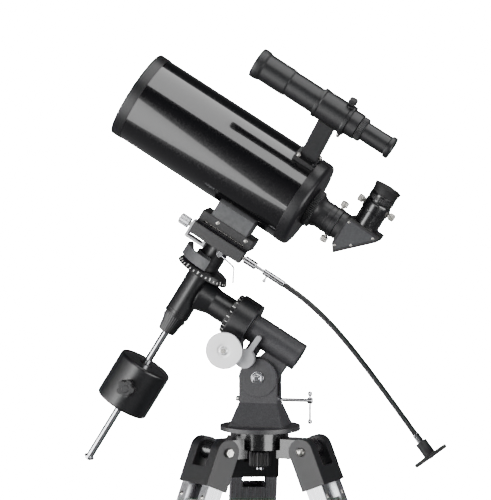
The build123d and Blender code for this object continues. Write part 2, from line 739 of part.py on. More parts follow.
write("dec_housing", make_dec_housing())
write("dec_setting_circle", make_dec_circle())
write("dec_index_bracket", make_index_bracket())
write("dec_shaft", make_dec_shaft())
write("dec_worm_wheel", on_dec(dec_worm_height) *
      make_worm_wheel(dec_wheel_radius, dec_wheel_thickness, dec_shaft_radius))
write("dec_worm_block", make_worm_block(), make_worm_bracket())
write("dec_worm", make_dec_worm())
write("dec_lock_lever", make_dec_lock())


# ---- counterweight ------------------------------------------------------------------------------
def make_bar():
    bar = rod(bar_radius, -bar_end, -36)
    washer = rod(7.0, -bar_end - 3, -bar_end) + rod(4.5, -bar_end - 6, -bar_end - 3)
    return on_dec(0) * bar, on_dec(0) * washer


def make_weight():
    weight = rod(weight_radius, -weight_top - weight_length, -weight_top)
    weight = fillet(weight.edges().filter_by(GeomType.CIRCLE), 3.0)
    weight -= rod(bar_radius + running_gap, -bar_end, 0)
    weight = on_dec(0) * weight
    middle = weight_top + weight_length / 2
    weight -= on_side(0, -middle, 0) * rod(4.0 + running_gap, 0, 60)
    return weight


def make_weight_knob():
    middle = weight_top + weight_length / 2
    knob = rod(4.0, bar_radius + 1, weight_radius + 3)
    knob += rod(9.0, weight_radius + 1, weight_radius + 14)
    for index in range(5):
        knob += Rot(0, 0, index * 72) * Pos(7.5, 0, 0) * rod(4.5, weight_radius + 2, weight_radius + 14)
    return on_side(0, -middle, 0) * knob


write("counterweight_bar", *make_bar())
write("counterweight", make_weight())
write("counterweight_knob", make_weight_knob())


# ---- saddle and optical tube --------------------------------------------------------------------
def make_saddle():
    saddle = block(-saddle_half_length, saddle_half_length, -saddle_half_width, saddle_half_width,
                   saddle_bottom, saddle_top)
    for sign in (-1, 1):
        low = min(sign * (saddle_half_width - 6), sign * (saddle_half_width + 1))
        saddle -= block(-saddle_half_length + 8, saddle_half_length - 8, low, low + 7,
                        saddle_bottom + 2.5, saddle_bottom + 4.5)
    return on_dec(0) * saddle


def make_tube_foot():
    foot = block(-foot_half_length, foot_half_length, -foot_half_width, foot_half_width,
                 saddle_top, tube_height - 40)
    foot -= Pos(0, 0, tube_height) * Rot(0, 90, 0) * Cylinder(tube_radius, 200)
    return on_dec(0) * foot


def about_tube(shape):
    return on_polar(0, tube_height) * shape


def make_tube():
    tube = rod(tube_radius, -tube_rear, tube_front)
    return about_tube(tube - rod(tube_radius - tube_wall, -tube_rear - 1, tube_front + 1))


def make_front_cell():
    """The ring that closes the front of the tube and holds the corrector."""
    outer = tube_radius + 0.8
    cell = rod(outer, tube_front, front_cell_front)
    cell += rod(tube_radius - tube_wall, tube_front - 12, tube_front + 1)
    cell -= rod(aperture / 2, tube_front - 20, front_cell_front + 1)
    cell -= rod(aperture / 2 + 2.5, tube_front - 13, tube_front + 4)
    return about_tube(cell)


def make_corrector():
    """A thick meniscus with an aluminised spot on its inner face."""
    edge = aperture / 2 + 2.5
    front = tube_front + 4
    sphere_radius = 160.0
    drop = sphere_radius - math.sqrt(sphere_radius ** 2 - edge ** 2)
    lens = rod(edge, front - 10 - drop, front)
    lens -= Pos(0, 0, front - drop + sphere_radius) * Sphere(sphere_radius)
    lens &= Pos(0, 0, front - 10 - drop + sphere_radius) * Sphere(sphere_radius)
    spot = Pos(0, 0, front - 10 - drop + sphere_radius) * Sphere(sphere_radius + 0.4)
    spot -= Pos(0, 0, front - 10 - drop + sphere_radius) * Sphere(sphere_radius)
    spot &= rod(14.0, front - 30 - drop, front)
    return about_tube(lens), about_tube(spot)


def make_rear_cell():
    """The casting that closes the rear, with the baffle tube pressed into it."""
    outer = tube_radius + 0.8
    cell = rod(outer, -rear_cell_rear, -tube_rear)
    cell = fillet(cell.faces().sort_by(Axis.Z)[0].edges(), 6.0)
    cell += rod(tube_radius - tube_wall, -tube_rear - 1, -tube_rear + 8)
    cell -= rod(tube_radius - 6, -rear_cell_rear + 6, -tube_rear + 10)
    cell -= rod(14.0, -rear_cell_rear - 1, 0)
    cell -= Pos(0, focus_knob_offset, 0) * rod(3.0 + bearing_gap, -rear_cell_rear - 1, 0)
    baffle = rod(14.0, -rear_cell_rear, 60) - rod(12.8, -rear_cell_rear - 1, 61)
    return about_tube(cell), about_tube(baffle)


def make_mirror():
    mirror_radius = aperture / 2 + 2
    front = -36.0
    sphere_radius = 520.0
    mirror_disc = rod(mirror_radius, front - 12, front)
    drop = sphere_radius - math.sqrt(sphere_radius ** 2 - mirror_radius ** 2)
    mirror_disc -= Pos(0, 0, front - drop + sphere_radius) * Sphere(sphere_radius)
    mirror_disc -= rod(14.0 + running_gap, front - 13, front + 1)
    return about_tube(mirror_disc)


def make_focus_knob():
    knob = knurled(focus_knob_radius, -rear_cell_rear - 19, -rear_cell_rear - 1.5, teeth=30)
    knob += rod(3.0, -rear_cell_rear - 2, -56.0)
    return about_tube(Pos(0, focus_knob_offset, 0) * knob)


def thumbscrew(start, head_start, radius=2.0):
    """A small screw along local Z with a knurled head."""
    return rod(radius, start, head_start + 1) + knurled(5.2, head_start, head_start + 7.5, teeth=18)


def make_visual_back():
    """Knurled ring, tapering neck and 1.25-inch socket, with two thumbscrews."""
    start = -rear_cell_rear
    ring_end = start - visual_ring_length
    back = knurled(visual_ring_radius, ring_end, start, teeth=48, depth=0.8)
    back += cone(adapter_radius - 1, adapter_radius + 2, ring_end - 8, ring_end + 0.01)
    back += rod(adapter_radius - 1, -adapter_end, ring_end - 7.9)
    back += rod(adapter_radius, -adapter_end, -adapter_end + 8)
    back -= rod(barrel_radius + bearing_gap, -adapter_end - 1, start - 14)
    back -= rod(12.8, start - 15, start + 1)
    screws = []
    for sign in (-1, 1):
        line = Pos(0, 0, -adapter_end + 5.5) * Rot(0, sign * 90, 0)
        back -= line * rod(2.0, 0, 40)
        screws.append(about_tube(line * thumbscrew(barrel_radius + 0.3, adapter_radius + 2.5)))
    return about_tube(back), screws


def make_diagonal():
    """A right-angle housing with a 1.25-inch barrel, its prism and its corner screws."""
    face = -127.0
    half = diagonal_half_width
    outline = Polyline((face, 16), (face, -22), (face - 8, -33), (face - 50, 10), (face - 50, 18),
                       (face - 4, 20), close=True)
    body = extrude(make_face(outline), half, both=True)
    hollow = Polyline((face - 3, 13), (face - 3, -21), (face - 9, -28), (face - 46, 9),
                      (face - 46, 13), close=True)
    body -= extrude(make_face(hollow), half - 3, both=True)
    triangle = Polyline((face - 5, 12), (face - 5, -20), (face - 8, -23), (face - 44, 12), close=True)
    prism = extrude(make_face(triangle), half - 4, both=True)
    turned = Plane(crossing + dec * tube_height, x_dir=polar, z_dir=side).location
    body = turned * body
    barrel = rod(barrel_radius, face - 1, -adapter_end + 22) + rod(adapter_radius - 1, face - 1,
                                                                    -adapter_end - running_gap)
    body += about_tube(barrel)
    body -= about_tube(rod(13.5, face - 4, -adapter_end + 23))
    body -= on_dec(tube_height, -holder_position) * rod(13.5, 11, 30)
    body -= on_dec(tube_height, -holder_position) * rod(holder_radius, holder_seat, 40)
    return body, turned * prism


def make_holder():
    """The eyepiece socket on the diagonal, with its two thumbscrews."""
    low = tube_height + holder_seat
    socket = rod(holder_radius, low, holder_top)
    socket += rod(holder_radius + 1.2, holder_top - 14, holder_top - 3)
    socket -= rod(13.5, low - 1, low + 6)
    socket -= rod(barrel_radius + bearing_gap, low + 5, holder_top + 1)
    place = on_dec(0, -holder_position)
    screws = []
    for sign in (-1, 1):
        line = Pos(0, 0, holder_top - 8) * Rot(0, sign * 90, 0)
        socket -= line * rod(2.0, 0, 40)
        screws.append(place * line * thumbscrew(barrel_radius + 0.3, holder_radius + 2.5))
    return [place * socket] + screws


def make_eyepiece():
    """A 1.25-inch eyepiece with its lenses and a flared rubber eyecup."""
    low = holder_top - 26
    shoulder = holder_top + running_gap
    body = rod(barrel_radius, low, shoulder) + rod(holder_radius, shoulder, holder_top + 12)
    body -= rod(13.0, low - 1, holder_top + 2)
    body -= rod(11.0, holder_top + 1, holder_top + 13)
    eye_lens = rod(11.0, holder_top + 4, holder_top + 9)
    field_lens = rod(13.0, low + 12, low + 17)
    cup = rod(holder_radius, holder_top + 12, holder_top + 15)
    cup += cone(holder_radius, eyecup_radius, holder_top + 15, eyepiece_top)
    cup -= rod(12.0, holder_top + 11, eyepiece_top + 1)
    cup -= cone(12.0, eyecup_radius - 1.5, holder_top + 14, eyepiece_top + 0.01)
    place = on_dec(0, -holder_position)
    return [place * piece for piece in (body, eye_lens, field_lens, cup)]


visual_back, adapter_screws = make_visual_back()
write("saddle", make_saddle())
write("tube_foot", make_tube_foot())
write("tube", make_tube())
write("front_cell", make_front_cell())
write("corrector", *make_corrector())
write("rear_cell", *make_rear_cell())
write("primary_mirror", make_mirror())
write("focus_knob", make_focus_knob())
write("visual_back", visual_back, *adapter_screws)
write("star_diagonal", *make_diagonal())
write("eyepiece_holder", *make_holder())
write("eyepiece", *make_eyepiece())

# ---- finder -------------------------------------------------------------------------------------
clock = math.radians(finder_clock)
finder_up = dec * math.cos(clock) - side * math.sin(clock)
optical = crossing + dec * tube_height


def on_finder(along=0.0):
    """Local Z runs up the finder's axis and local X away from the main tube."""
    centre = optical + finder_up * finder_distance + polar * along
    return Plane(centre, x_dir=finder_up, z_dir=polar).location


def make_finder_stem():
    """The post: a shoe on the tube's wall and a tall plate up to the ring."""
    shoe_half = 17.0
    top = -finder_ring_radius + 2.0
    bottom = -finder_distance + tube_radius - 6
    stem = block(bottom, top, -stem_thickness / 2, stem_thickness / 2,
                 stem_position - stem_width / 2, stem_position + stem_width / 2)
    shoe = block(bottom, -finder_distance + tube_radius + 5, -14, 14,
                 -57.5, stem_position + shoe_half)
    stem += shoe
    post = on_finder() * stem
    for sign in (-1, 1):
        head = Pos(-finder_distance + tube_radius + 4, sign * 10, stem_position + 12 * sign) * \
            Rot(0, 90, 0)
        post += on_finder() * head * rod(3.0, 0, 3.5)
    return post - about_tube(rod(tube_radius, -100, 100))


def make_finder_bracket():
    """A ring round the finder with its adjusting screw and its spring plunger."""
    ring = rod(finder_ring_radius, finder_ring_rear, finder_ring_front)
    ring -= rod(finder_tube_radius + 0.2, finder_ring_rear - 1, finder_ring_front + 1)
    ring -= block(-finder_ring_radius - 1, -finder_ring_radius + 2, -stem_thickness / 2,
                  stem_thickness / 2, stem_position - stem_width / 2, stem_position + stem_width / 2)
    screw_line = Pos(0, 0, finder_ring_rear + 8) * Rot(0, 90, 0)
    ring -= screw_line * rod(2.0, 0, 40)
    screw = screw_line * (rod(2.0, finder_tube_radius + 0.2, finder_ring_radius + 6) +
                          rod(5.8, finder_ring_radius + 5, finder_ring_radius + 12))
    plunger_line = Pos(0, 0, finder_ring_rear + 5) * Rot(0, -90, 0)
    ring -= plunger_line * rod(2.5, 0, 40)
    plunger = plunger_line * rod(2.5, finder_tube_radius + 0.2, finder_ring_radius + 10)
    return [on_finder() * piece for piece in (ring, screw, plunger)]


def make_finder_tube():
    """Objective bell, main tube and objective lens."""
    tube = rod(finder_tube_radius, -83, 25)
    tube += rod(19.0, 24, finder_front - 9)
    tube += rod(20.7, finder_front - 9, finder_front)
    tube -= rod(15.0, -84, finder_front + 1)
    lens = rod(15.0, finder_front - 16, finder_front - 10)
    return [on_finder() * tube, on_finder() * lens]


def make_finder_eye():
    """Focusing ring, eye tube, rubber-rimmed end and eye lens."""
    eye = rod(16.7, -92, -83)
    eye += rod(13.2, -finder_rear + 7, -91)
    eye += rod(15.3, -finder_rear, -finder_rear + 8)
    eye -= rod(9.0, -finder_rear - 1, -82)
    lens = rod(9.0, -finder_rear + 3, -finder_rear + 7)
    return [on_finder() * eye, on_finder() * lens]


write("finder_stem", make_finder_stem())
write("finder_bracket", *make_finder_bracket())
write("finder_tube", *make_finder_tube())
write("finder_eye_end", *make_finder_eye())

# ---- slow-motion cable --------------------------------------------------------------------------
# Route points as (along the polar axis, up the declination axis) from the crossing, in the plane of
# the worm. The cable is a stiff wound shaft that stands out of its coupling.
route = [(-104.0, 76.0), (-127.0, 75.2), (-150.0, 72.6), (-173.0, 68.3), (-196.0, 62.4),
         (-219.0, 55.3), (-242.0, 47.4), (-265.0, 39.0), (-288.0, 30.3), (-311.0, 21.4),
         (-334.0, 12.3), (-354.0, 4.2)]


def cable_point(index):
    along, up = route[index]
    return head_point(up, -dec_worm_offset, along)


def make_cable():
    points = [cable_point(index) for index in range(len(route))]
    radii = []
    for before, here, after in zip(points, points[1:], points[2:]):
        turn = math.radians((here - before).get_angle(after - here))
        shorter = min((here - before).length, (after - here).length)
        radii.append(0.45 * shorter / math.tan(turn / 2))
    path = FilletPolyline(*points, radius=radii)
    tube = sweep(Plane(path @ 0, z_dir=path % 0) * Circle(cable_diameter / 2), path=path)
    print("cable radii", [round(radius) for radius in radii])
    print("cable length", round(path.length, 1), "volume ratio",
          round(tube.volume / (path.length * math.pi * cable_diameter ** 2 / 4), 4))
    return tube


def make_coupling():
    """A chrome sleeve between the worm's shaft and the cable, with a thumb screw."""
    outer = head_point(dec_worm_height, -dec_worm_offset, -worm_block_half_length)
    reach = (cable_point(0) - outer).length - running_gap
    socket = rod(5.3, 3, 21) + rod(2.3, 20, reach - 30) + rod(4.5, reach - 32, reach)
    socket -= rod(worm_shaft_radius, 2, 13)
    screw = Pos(0, 0, reach - 25) * Rot(0, -90, 0) * (rod(1.3, 3, 9) + Pos(0, 0, 10.5) * Sphere(2.6))
    return Plane(outer, x_dir=dec, z_dir=-polar).location * (socket + screw)


def make_cable_knob():
    """The grip: a ferrule, a hub and a wide disc on the end of the cable."""
    last = cable_point(len(route) - 1)
    direction = (last - cable_point(len(route) - 2)).normalized()
    knob = rod(4.7, 0, 13) + rod(8.1, 12, 32) + rod(24.7, 32, 37.4)
    return Plane(last, x_dir=side, z_dir=direction).location * knob


write("slow_motion_cable", make_cable())
write("cable_coupling", make_coupling())
write("cable_knob", make_cable_knob())

print("polar", polar, "dec", dec, "crossing", crossing)
print("leg pivot height", leg_pivot_height, "hub top", hub_top, "latitude pivot", pivot_height)
print("brace ratio", brace_ratio, "tray ratio", tray_ratio, "brace rest", rest_radius, rest_height,
      "inner height", inner_height)
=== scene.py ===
# %% [markdown]
# # A small Maksutov telescope on its equatorial mount
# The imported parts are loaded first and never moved: they are the frame that every visible piece is
# fitted to. Lengths are in metres inside Blender and in millimetres in this file, so `MM` turns
# one into the other.

import json
import math

import bmesh
import bpy
from mathutils import Matrix, Vector

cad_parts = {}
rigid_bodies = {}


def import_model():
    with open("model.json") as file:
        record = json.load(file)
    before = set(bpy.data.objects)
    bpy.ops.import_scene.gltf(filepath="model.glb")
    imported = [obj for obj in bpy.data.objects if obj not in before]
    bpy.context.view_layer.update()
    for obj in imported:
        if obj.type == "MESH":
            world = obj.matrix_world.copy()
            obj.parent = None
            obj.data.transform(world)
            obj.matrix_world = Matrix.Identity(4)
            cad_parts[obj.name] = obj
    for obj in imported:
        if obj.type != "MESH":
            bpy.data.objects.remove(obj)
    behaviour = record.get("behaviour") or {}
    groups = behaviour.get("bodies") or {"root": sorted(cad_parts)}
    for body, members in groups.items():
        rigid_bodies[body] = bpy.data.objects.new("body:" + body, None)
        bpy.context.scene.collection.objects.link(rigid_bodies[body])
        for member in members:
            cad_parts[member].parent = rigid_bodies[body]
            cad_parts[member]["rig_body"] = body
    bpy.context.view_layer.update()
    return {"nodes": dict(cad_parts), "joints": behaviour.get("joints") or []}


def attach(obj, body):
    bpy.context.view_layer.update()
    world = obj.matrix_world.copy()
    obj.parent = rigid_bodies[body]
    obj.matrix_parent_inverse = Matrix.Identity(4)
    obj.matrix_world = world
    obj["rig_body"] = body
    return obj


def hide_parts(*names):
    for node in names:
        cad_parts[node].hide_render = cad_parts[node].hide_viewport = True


MM = 0.001
bpy.ops.object.select_all(action="SELECT")
bpy.ops.object.delete()
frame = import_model()
bpy.ops.object.select_all(action="DESELECT")
nodes = frame["nodes"]

# %% [markdown]
# The two axes of the mount cross at one point. The polar axis and the declination axis come from
# the joints in the record, so a piece of the head is placed by three plain numbers: how far up the
# declination axis it is, how far across, and how far along the polar axis.

# %% The mount's own directions
joints = {joint["name"]: joint for joint in frame["joints"]}
crossing = Vector(joints["right_ascension"]["pos_m"])
polar = Vector(joints["right_ascension"]["axis"]).normalized()
dec = Vector(joints["declination"]["axis"]).normalized()
side = Vector((0, 1, 0))
CENTRE = Vector((*joints["azimuth_turn"]["pos_m"][:2], 0))


def head(up, across, along):
    """A point of the head, in metres, from three distances in millimetres."""
    return crossing + (dec * up + side * across + polar * along) * MM


def facing(origin, z, x):
    """The matrix that lays a piece built about Z at origin, with its Z and X along z and x."""
    z = z.normalized()
    x = (x - z * x.dot(z)).normalized()
    return Matrix.Translation(origin) @ Matrix((x, z.cross(x), z)).transposed().to_4x4()


TUBE = facing(head(178, 0, 0), polar, dec)
POLAR = facing(head(0, 0, 0), polar, dec)
DEC = facing(head(0, 0, 0), dec, polar)
EYE = facing(head(0, 0, -151), dec, polar)
clock = math.radians(25)
outward = dec * math.cos(clock) - side * math.sin(clock)
FINDER = facing(head(178, 0, 0) + outward * 147 * MM, polar, outward)
print("axes cross at", [round(x, 4) for x in crossing])

# %% [markdown]
# ## Camera, light and floor
# A long lens far away keeps the parallel tubes looking parallel. The light is a pale room with a
# darker ceiling and a few large soft panels, because polished black enamel has no colour of its
# own: all that the eye sees on it is what it mirrors.

# %% Camera
eye_height = 1.62
aim = CENTRE + Vector((-0.0196, -0.0041, 0.8995))
turn = math.radians(12)
away = Vector((math.sin(turn), -math.cos(turn), 0)) * 6.99
bpy.ops.object.camera_add(location=(aim.x + away.x, aim.y + away.y, eye_height))
camera = bpy.context.object
camera.rotation_euler = (aim - camera.location).to_track_quat("-Z", "Y").to_euler()
camera.rotation_euler.rotate_axis("Z", math.radians(0.19))
camera.data.lens = 385
camera.data.sensor_width = 36
camera.data.clip_start = 0.5
camera.data.clip_end = 2000
bpy.context.scene.camera = camera

# %% Nodes, in one small function


def add(tree, kind, inputs=(), **settings):
    """Adds a node; inputs maps a socket's name or number to a value or to another node's output."""
    node = tree.nodes.new(kind)
    for name, value in settings.items():
        setattr(node, name, value)
    for name, value in dict(inputs).items():
        if isinstance(value, bpy.types.NodeSocket):
            tree.links.new(value, node.inputs[name])
        else:
            node.inputs[name].default_value = value
    return node


def linear(code, alpha=1.0):
    """A hex colour as it is seen on a screen, as the linear values a shader wants."""
    parts = [int(code[i:i + 2], 16) / 255 for i in (1, 3, 5)]
    return [p / 12.92 if p <= 0.04045 else ((p + 0.055) / 1.055) ** 2.4 for p in parts] + [alpha]


# %% Room light
world = bpy.data.worlds.new("studio_room")
bpy.context.scene.world = world
world.use_nodes = True
tree = world.node_tree
tree.nodes.clear()
where = add(tree, "ShaderNodeTexCoord")
split = add(tree, "ShaderNodeSeparateXYZ", {0: where.outputs["Generated"]})
height = add(tree, "ShaderNodeValToRGB", {0: split.outputs["Z"]})
height.color_ramp.elements[0].position = 0.0
height.color_ramp.elements[0].color = linear("#8A8A8C")
height.color_ramp.elements[1].position = 0.5
height.color_ramp.elements[1].color = linear("#3A3A3C")
room = add(tree, "ShaderNodeBackground", {"Color": height.outputs["Color"], "Strength": 0.7})
white = add(tree, "ShaderNodeBackground", {"Color": (1, 1, 1, 1), "Strength": 40.0})
seen = add(tree, "ShaderNodeLightPath")
mix = add(tree, "ShaderNodeMixShader", {0: seen.outputs["Is Camera Ray"], 1: room.outputs[0],
                                        2: white.outputs[0]})
add(tree, "ShaderNodeOutputWorld", {"Surface": mix.outputs[0]})

# %% [markdown]
# A mirror-black cylinder shows each light as a band. The wide panel above the tube makes the broad
# upper band; a panel that narrows to one side, in front and below, makes the lower band that
# tapers towards the rear. The tall panels left and right draw the upright bands on the tripod's
# hub, and the strip in front draws the one broad stripe down the declination tube.

# %% Soft panels


def panel(name, location, target, across, width, tall, radiance):
    """A large flat light that looks at the object; its width lies across."""
    bpy.ops.object.light_add(type="AREA", location=location)
    lamp = bpy.context.object
    lamp.name = name
    lamp.data.shape = "RECTANGLE"
    lamp.data.size = width
    lamp.data.size_y = tall
    lamp.data.energy = radiance * math.pi * width * tall
    lamp.matrix_world = facing(location, location - target, across)


def beyond(angle, distance):
    """A point of the plane across the tube, an angle up from the horizontal towards the viewer."""
    angle = math.radians(angle)
    return (dec * math.sin(angle) - side * math.cos(angle)) * distance


heart = head(178, 0, 63)
hub_middle = CENTRE + Vector((0, 0, 0.65))
panel("panel_above", heart + beyond(80, 2.5) + polar * 0.33, heart, beyond(-10, 1), 3.6, 1.7, 4.0)
left = Vector((-0.90, -0.44, -0.06))
panel("panel_left", hub_middle + left * 2.5, hub_middle, Vector((-0.44, 0.90, 0)), 3.3, 1.3, 7.0)
right = Vector((0.84, -0.54, -0.06))
panel("panel_right", hub_middle + right * 2.5, hub_middle, Vector((0.54, 0.84, 0)), 2.6, 1.3, 7.0)
strip = Vector((-0.40, -0.92, 0.04))
panel("panel_strip", crossing + strip * 3, crossing, Vector((0.92, -0.40, 0)), 0.8, 2.0, 10.0)
bpy.ops.mesh.primitive_plane_add(size=1)
tapered = bpy.context.object
tapered.name = "panel_tapered"
bpy.ops.object.mode_set(mode="EDIT")
mesh = bmesh.from_edit_mesh(tapered.data)
for vertex in mesh.verts:
    narrow, upper = vertex.co.x < 0, vertex.co.y > 0
    vertex.co.x = 0.20 if narrow else 0.84
    vertex.co.y = {(True, True): -0.10, (True, False): -0.19,
                   (False, True): 2.2, (False, False): -2.3}[narrow, upper]
bmesh.update_edit_mesh(tapered.data)
bpy.ops.object.mode_set(mode="OBJECT")
tapered.matrix_world = facing(head(178, 0, 0) + beyond(-26, 2.5), beyond(154, 1), polar)
glow = bpy.data.materials.new("panel_glow")
glow.use_nodes = True
glow.node_tree.nodes.clear()
shine = add(glow.node_tree, "ShaderNodeEmission", {"Color": (1, 1, 1, 1), "Strength": 4.2})
add(glow.node_tree, "ShaderNodeOutputMaterial", {"Surface": shine.outputs[0]})
tapered.data.materials.append(glow)
tapered.visible_camera = False

# %% Floor
bpy.ops.mesh.primitive_plane_add(size=1200, location=(0, 0, 0))
floor = bpy.context.object
floor.name = "floor"
paper = bpy.data.materials.new("pale_paper")
paper.use_nodes = True
paper.node_tree.nodes["Principled BSDF"].inputs["Base Color"].default_value = linear("#F4F4F3")
paper.node_tree.nodes["Principled BSDF"].inputs["Roughness"].default_value = 0.9
floor.data.materials.append(paper)
floor.visible_glossy = False
floor.visible_diffuse = False
paper_only = bpy.data.collections.new("lit_by_the_sun_lamp")
paper_only.objects.link(floor)
bpy.ops.object.light_add(type="SUN", rotation=(math.radians(20), math.radians(-12), 0))
sun = bpy.context.object
sun.data.energy = 130
sun.data.angle = math.radians(50)
sun.light_linking.receiver_collection = paper_only
print("camera at", [round(x, 3) for x in camera.location])

# %% [markdown]
# ## Finishes
# Every finish starts from what the real surface is. One function makes the bare shader; each cell
# then adds the pattern that the surface has, with its grain worked out from a size in millimetres.
# Bumps go through a Bevel node, which rounds the light on edges by a fraction of a millimetre, as
# paint and tumbling do on real castings.

# %% The bare shader


def bare(name, colour, roughness, metallic=0.0, coat=0.0, coat_roughness=0.05):
    material = bpy.data.materials.new(name)
    material.use_nodes = True
    shader = material.node_tree.nodes["Principled BSDF"]
    shader.inputs["Base Color"].default_value = linear(colour)
    shader.inputs["Roughness"].default_value = roughness
    shader.inputs["Metallic"].default_value = metallic
    shader.inputs["Coat Weight"].default_value = coat
    shader.inputs["Coat Roughness"].default_value = coat_roughness
    return material, material.node_tree, shader


def grain_frequency(size_mm):
    """The noise scale whose features are about this many millimetres across."""
    return 1 / (size_mm * MM)


def bumped(tree, shader, height, depth_mm, edge_mm, strength=1.0):
    """Lets a pattern raise the surface by a depth, over edges rounded by edge_mm."""
    edge = add(tree, "ShaderNodeBevel", {"Radius": edge_mm * MM}, samples=4)
    bump = add(tree, "ShaderNodeBump", {"Height": height, "Normal": edge.outputs[0],
                                        "Strength": strength, "Distance": depth_mm * MM})
    tree.links.new(bump.outputs[0], shader.inputs["Normal"])


def rough_surface(tree, shader, size_mm, depth_mm, detail=2.0, edge_mm=0.4):
    """A bump of noise of one grain size."""
    place = add(tree, "ShaderNodeTexCoord").outputs["Object"]
    noise = add(tree, "ShaderNodeTexNoise", {"Vector": place, "Scale": grain_frequency(size_mm),
                                             "Detail": detail})
    bumped(tree, shader, noise.outputs[0], depth_mm, edge_mm)
    return noise, place


def uneven(tree, shader, noise, low, high, socket="Roughness"):
    """Lets a noise move the roughness between two values, as handling and dust do."""
    spread = add(tree, "ShaderNodeMapRange", {"Value": noise.outputs[0], "From Min": 0.3,
                                              "From Max": 0.7, "To Min": low, "To Max": high})
    tree.links.new(spread.outputs[0], shader.inputs[socket])


def mottled(tree, shader, place, size_mm, first, second):
    """Lets the colour drift between two close shades over patches of this size."""
    patch = add(tree, "ShaderNodeTexNoise", {"Vector": place, "Scale": grain_frequency(size_mm),
                                             "Detail": 4.0})
    ramp = add(tree, "ShaderNodeValToRGB", {0: patch.outputs[0]})
    ramp.color_ramp.elements[0].position = 0.35
    ramp.color_ramp.elements[0].color = linear(first)
    ramp.color_ramp.elements[1].position = 0.65
    ramp.color_ramp.elements[1].color = linear(second)
    tree.links.new(ramp.outputs[0], shader.inputs["Base Color"])


def finish(name, colour, roughness, grain, sheen=None, mottle=None, detail=2.0, **shell):
    """A whole finish. Grain is (size, depth, edge) in millimetres, sheen the two ends of the
    roughness, mottle (patch size, first shade, second shade)."""
    material, tree, shader = bare(name, colour, roughness, **shell)
    size_mm, depth_mm, edge_mm = grain
    noise, place = rough_surface(tree, shader, size_mm, depth_mm, detail, edge_mm)
    if mottle:
        mottled(tree, shader, place, *mottle)
    if sheen:
        uneven(tree, shader, noise, *sheen)
    return material


# %% [markdown]
# The main tube is rolled aluminium in baked gloss enamel: nearly black, mirror-smooth, with the
# faint orange peel that sprayed enamel keeps. The hub and the eyepiece have the same enamel,
# thinner and less even.

# %% Gloss enamel
gloss_enamel = finish("gloss_black_enamel", "#0A0A0C", 0.16, grain=(2.4, 0.004, 0.3),
                      sheen=(0.12, 0.2), coat=1.0)
cast_enamel = finish("gloss_enamel_on_casting", "#0D0D0F", 0.22, grain=(3.5, 0.006, 0.8),
                     sheen=(0.18, 0.32), coat=0.7, coat_roughness=0.12)

# %% [markdown]
# The cells, the finder, the declination castings and the counterweight are satin black: a
# bead-blasted surface, anodised or painted, that turns a highlight into a soft grey band.

# %% Satin blacks
satin_black = finish("satin_black_anodised", "#141416", 0.38, grain=(0.5, 0.008, 0.4),
                     sheen=(0.32, 0.44))
satin_paint = finish("satin_black_paint_on_iron", "#121214", 0.33, grain=(1.6, 0.008, 0.8),
                     sheen=(0.28, 0.4), coat=0.2, coat_roughness=0.3)

# %% [markdown]
# The base and the polar casting wear wrinkle paint: a dark grey lacquer that shrinks in the oven
# into closed cells about a millimetre across. Two scales of the same noise make cells and ridges.

# %% Wrinkle paint
wrinkle = finish("wrinkle_paint_dark_grey", "#2B2B2D", 0.42, grain=(1.3, 0.16, 0.9),
                 mottle=(1.1, "#242426", "#38383B"), sheen=(0.34, 0.5), detail=1.0)

# %% [markdown]
# Small levers are zinc castings in a smooth mid-grey lacquer. The lock, caps
# and knobs are moulded ABS with the fine spark-eroded grain of their mould.

# %% Grey lacquer and moulded plastic
grey_lacquer = finish("satin_grey_lacquer_on_zinc", "#A2A3A6", 0.34, grain=(2.0, 0.012, 0.7),
                      mottle=(9, "#9C9DA0", "#A8A9AC"), coat=0.3, coat_roughness=0.25)
pressed_grey = finish("light_grey_pressed_steel", "#B4B5B7", 0.36, grain=(1.4, 0.008, 0.3),
                      sheen=(0.3, 0.42), coat=0.2, coat_roughness=0.3)
slate = finish("slate_grey_casting", "#4C4D4F", 0.5, grain=(0.8, 0.02, 0.8),
               mottle=(5, "#48494B", "#525355"))
abs_black = finish("moulded_black_abs", "#151517", 0.4, grain=(0.45, 0.02, 0.7),
                   sheen=(0.34, 0.48))
dark_plate = finish("dark_grey_textured_plate", "#2E2F32", 0.5, grain=(0.6, 0.03, 0.3),
                    mottle=(3, "#2A2B2E", "#333437"))

# %% [markdown]
# Bright parts: polished chrome plate on the bar and the small handles, nickel on the screws,
# turned aluminium on the hand wheel, whose tool marks are fine rings, and drawn aluminium on the
# leg rails, whose die lines run along the leg.

# %% Bright metals
chrome = finish("polished_chrome_plate", "#D9DADD", 0.07, grain=(0.8, 0.002, 0.25),
                sheen=(0.05, 0.12), metallic=1.0)
nickel = finish("nickel_plated_steel", "#BDBBB6", 0.24, grain=(0.4, 0.008, 0.25),
                sheen=(0.18, 0.34), metallic=1.0)
brass = finish("machined_brass", "#C9A35A", 0.28, grain=(0.4, 0.01, 0.2), sheen=(0.22, 0.36),
               metallic=1.0)


def turned_metal(name, colour, where, pitch_mm, roughness):
    """Metal faced on a lathe: rings about the Z of a place, a tool's feed apart."""
    material, tree, shader = bare(name, colour, roughness, metallic=1.0)
    place = add(tree, "ShaderNodeTexCoord").outputs["Object"]
    back = where.inverted().to_euler()
    centre = where.inverted().translation
    mapping = add(tree, "ShaderNodeMapping", {"Vector": place, "Location": centre,
                                              "Rotation": back})
    flat = add(tree, "ShaderNodeVectorMath", {0: mapping.outputs[0], 1: (1, 1, 0)},
               operation="MULTIPLY")
    wave = add(tree, "ShaderNodeTexWave", {"Vector": flat.outputs[0],
                                           "Scale": 1 / (pitch_mm * MM * 20), "Distortion": 0.4},
               wave_type="RINGS", rings_direction="SPHERICAL")
    bumped(tree, shader, wave.outputs["Fac"], 0.02, 0.3, strength=0.25)
    return material


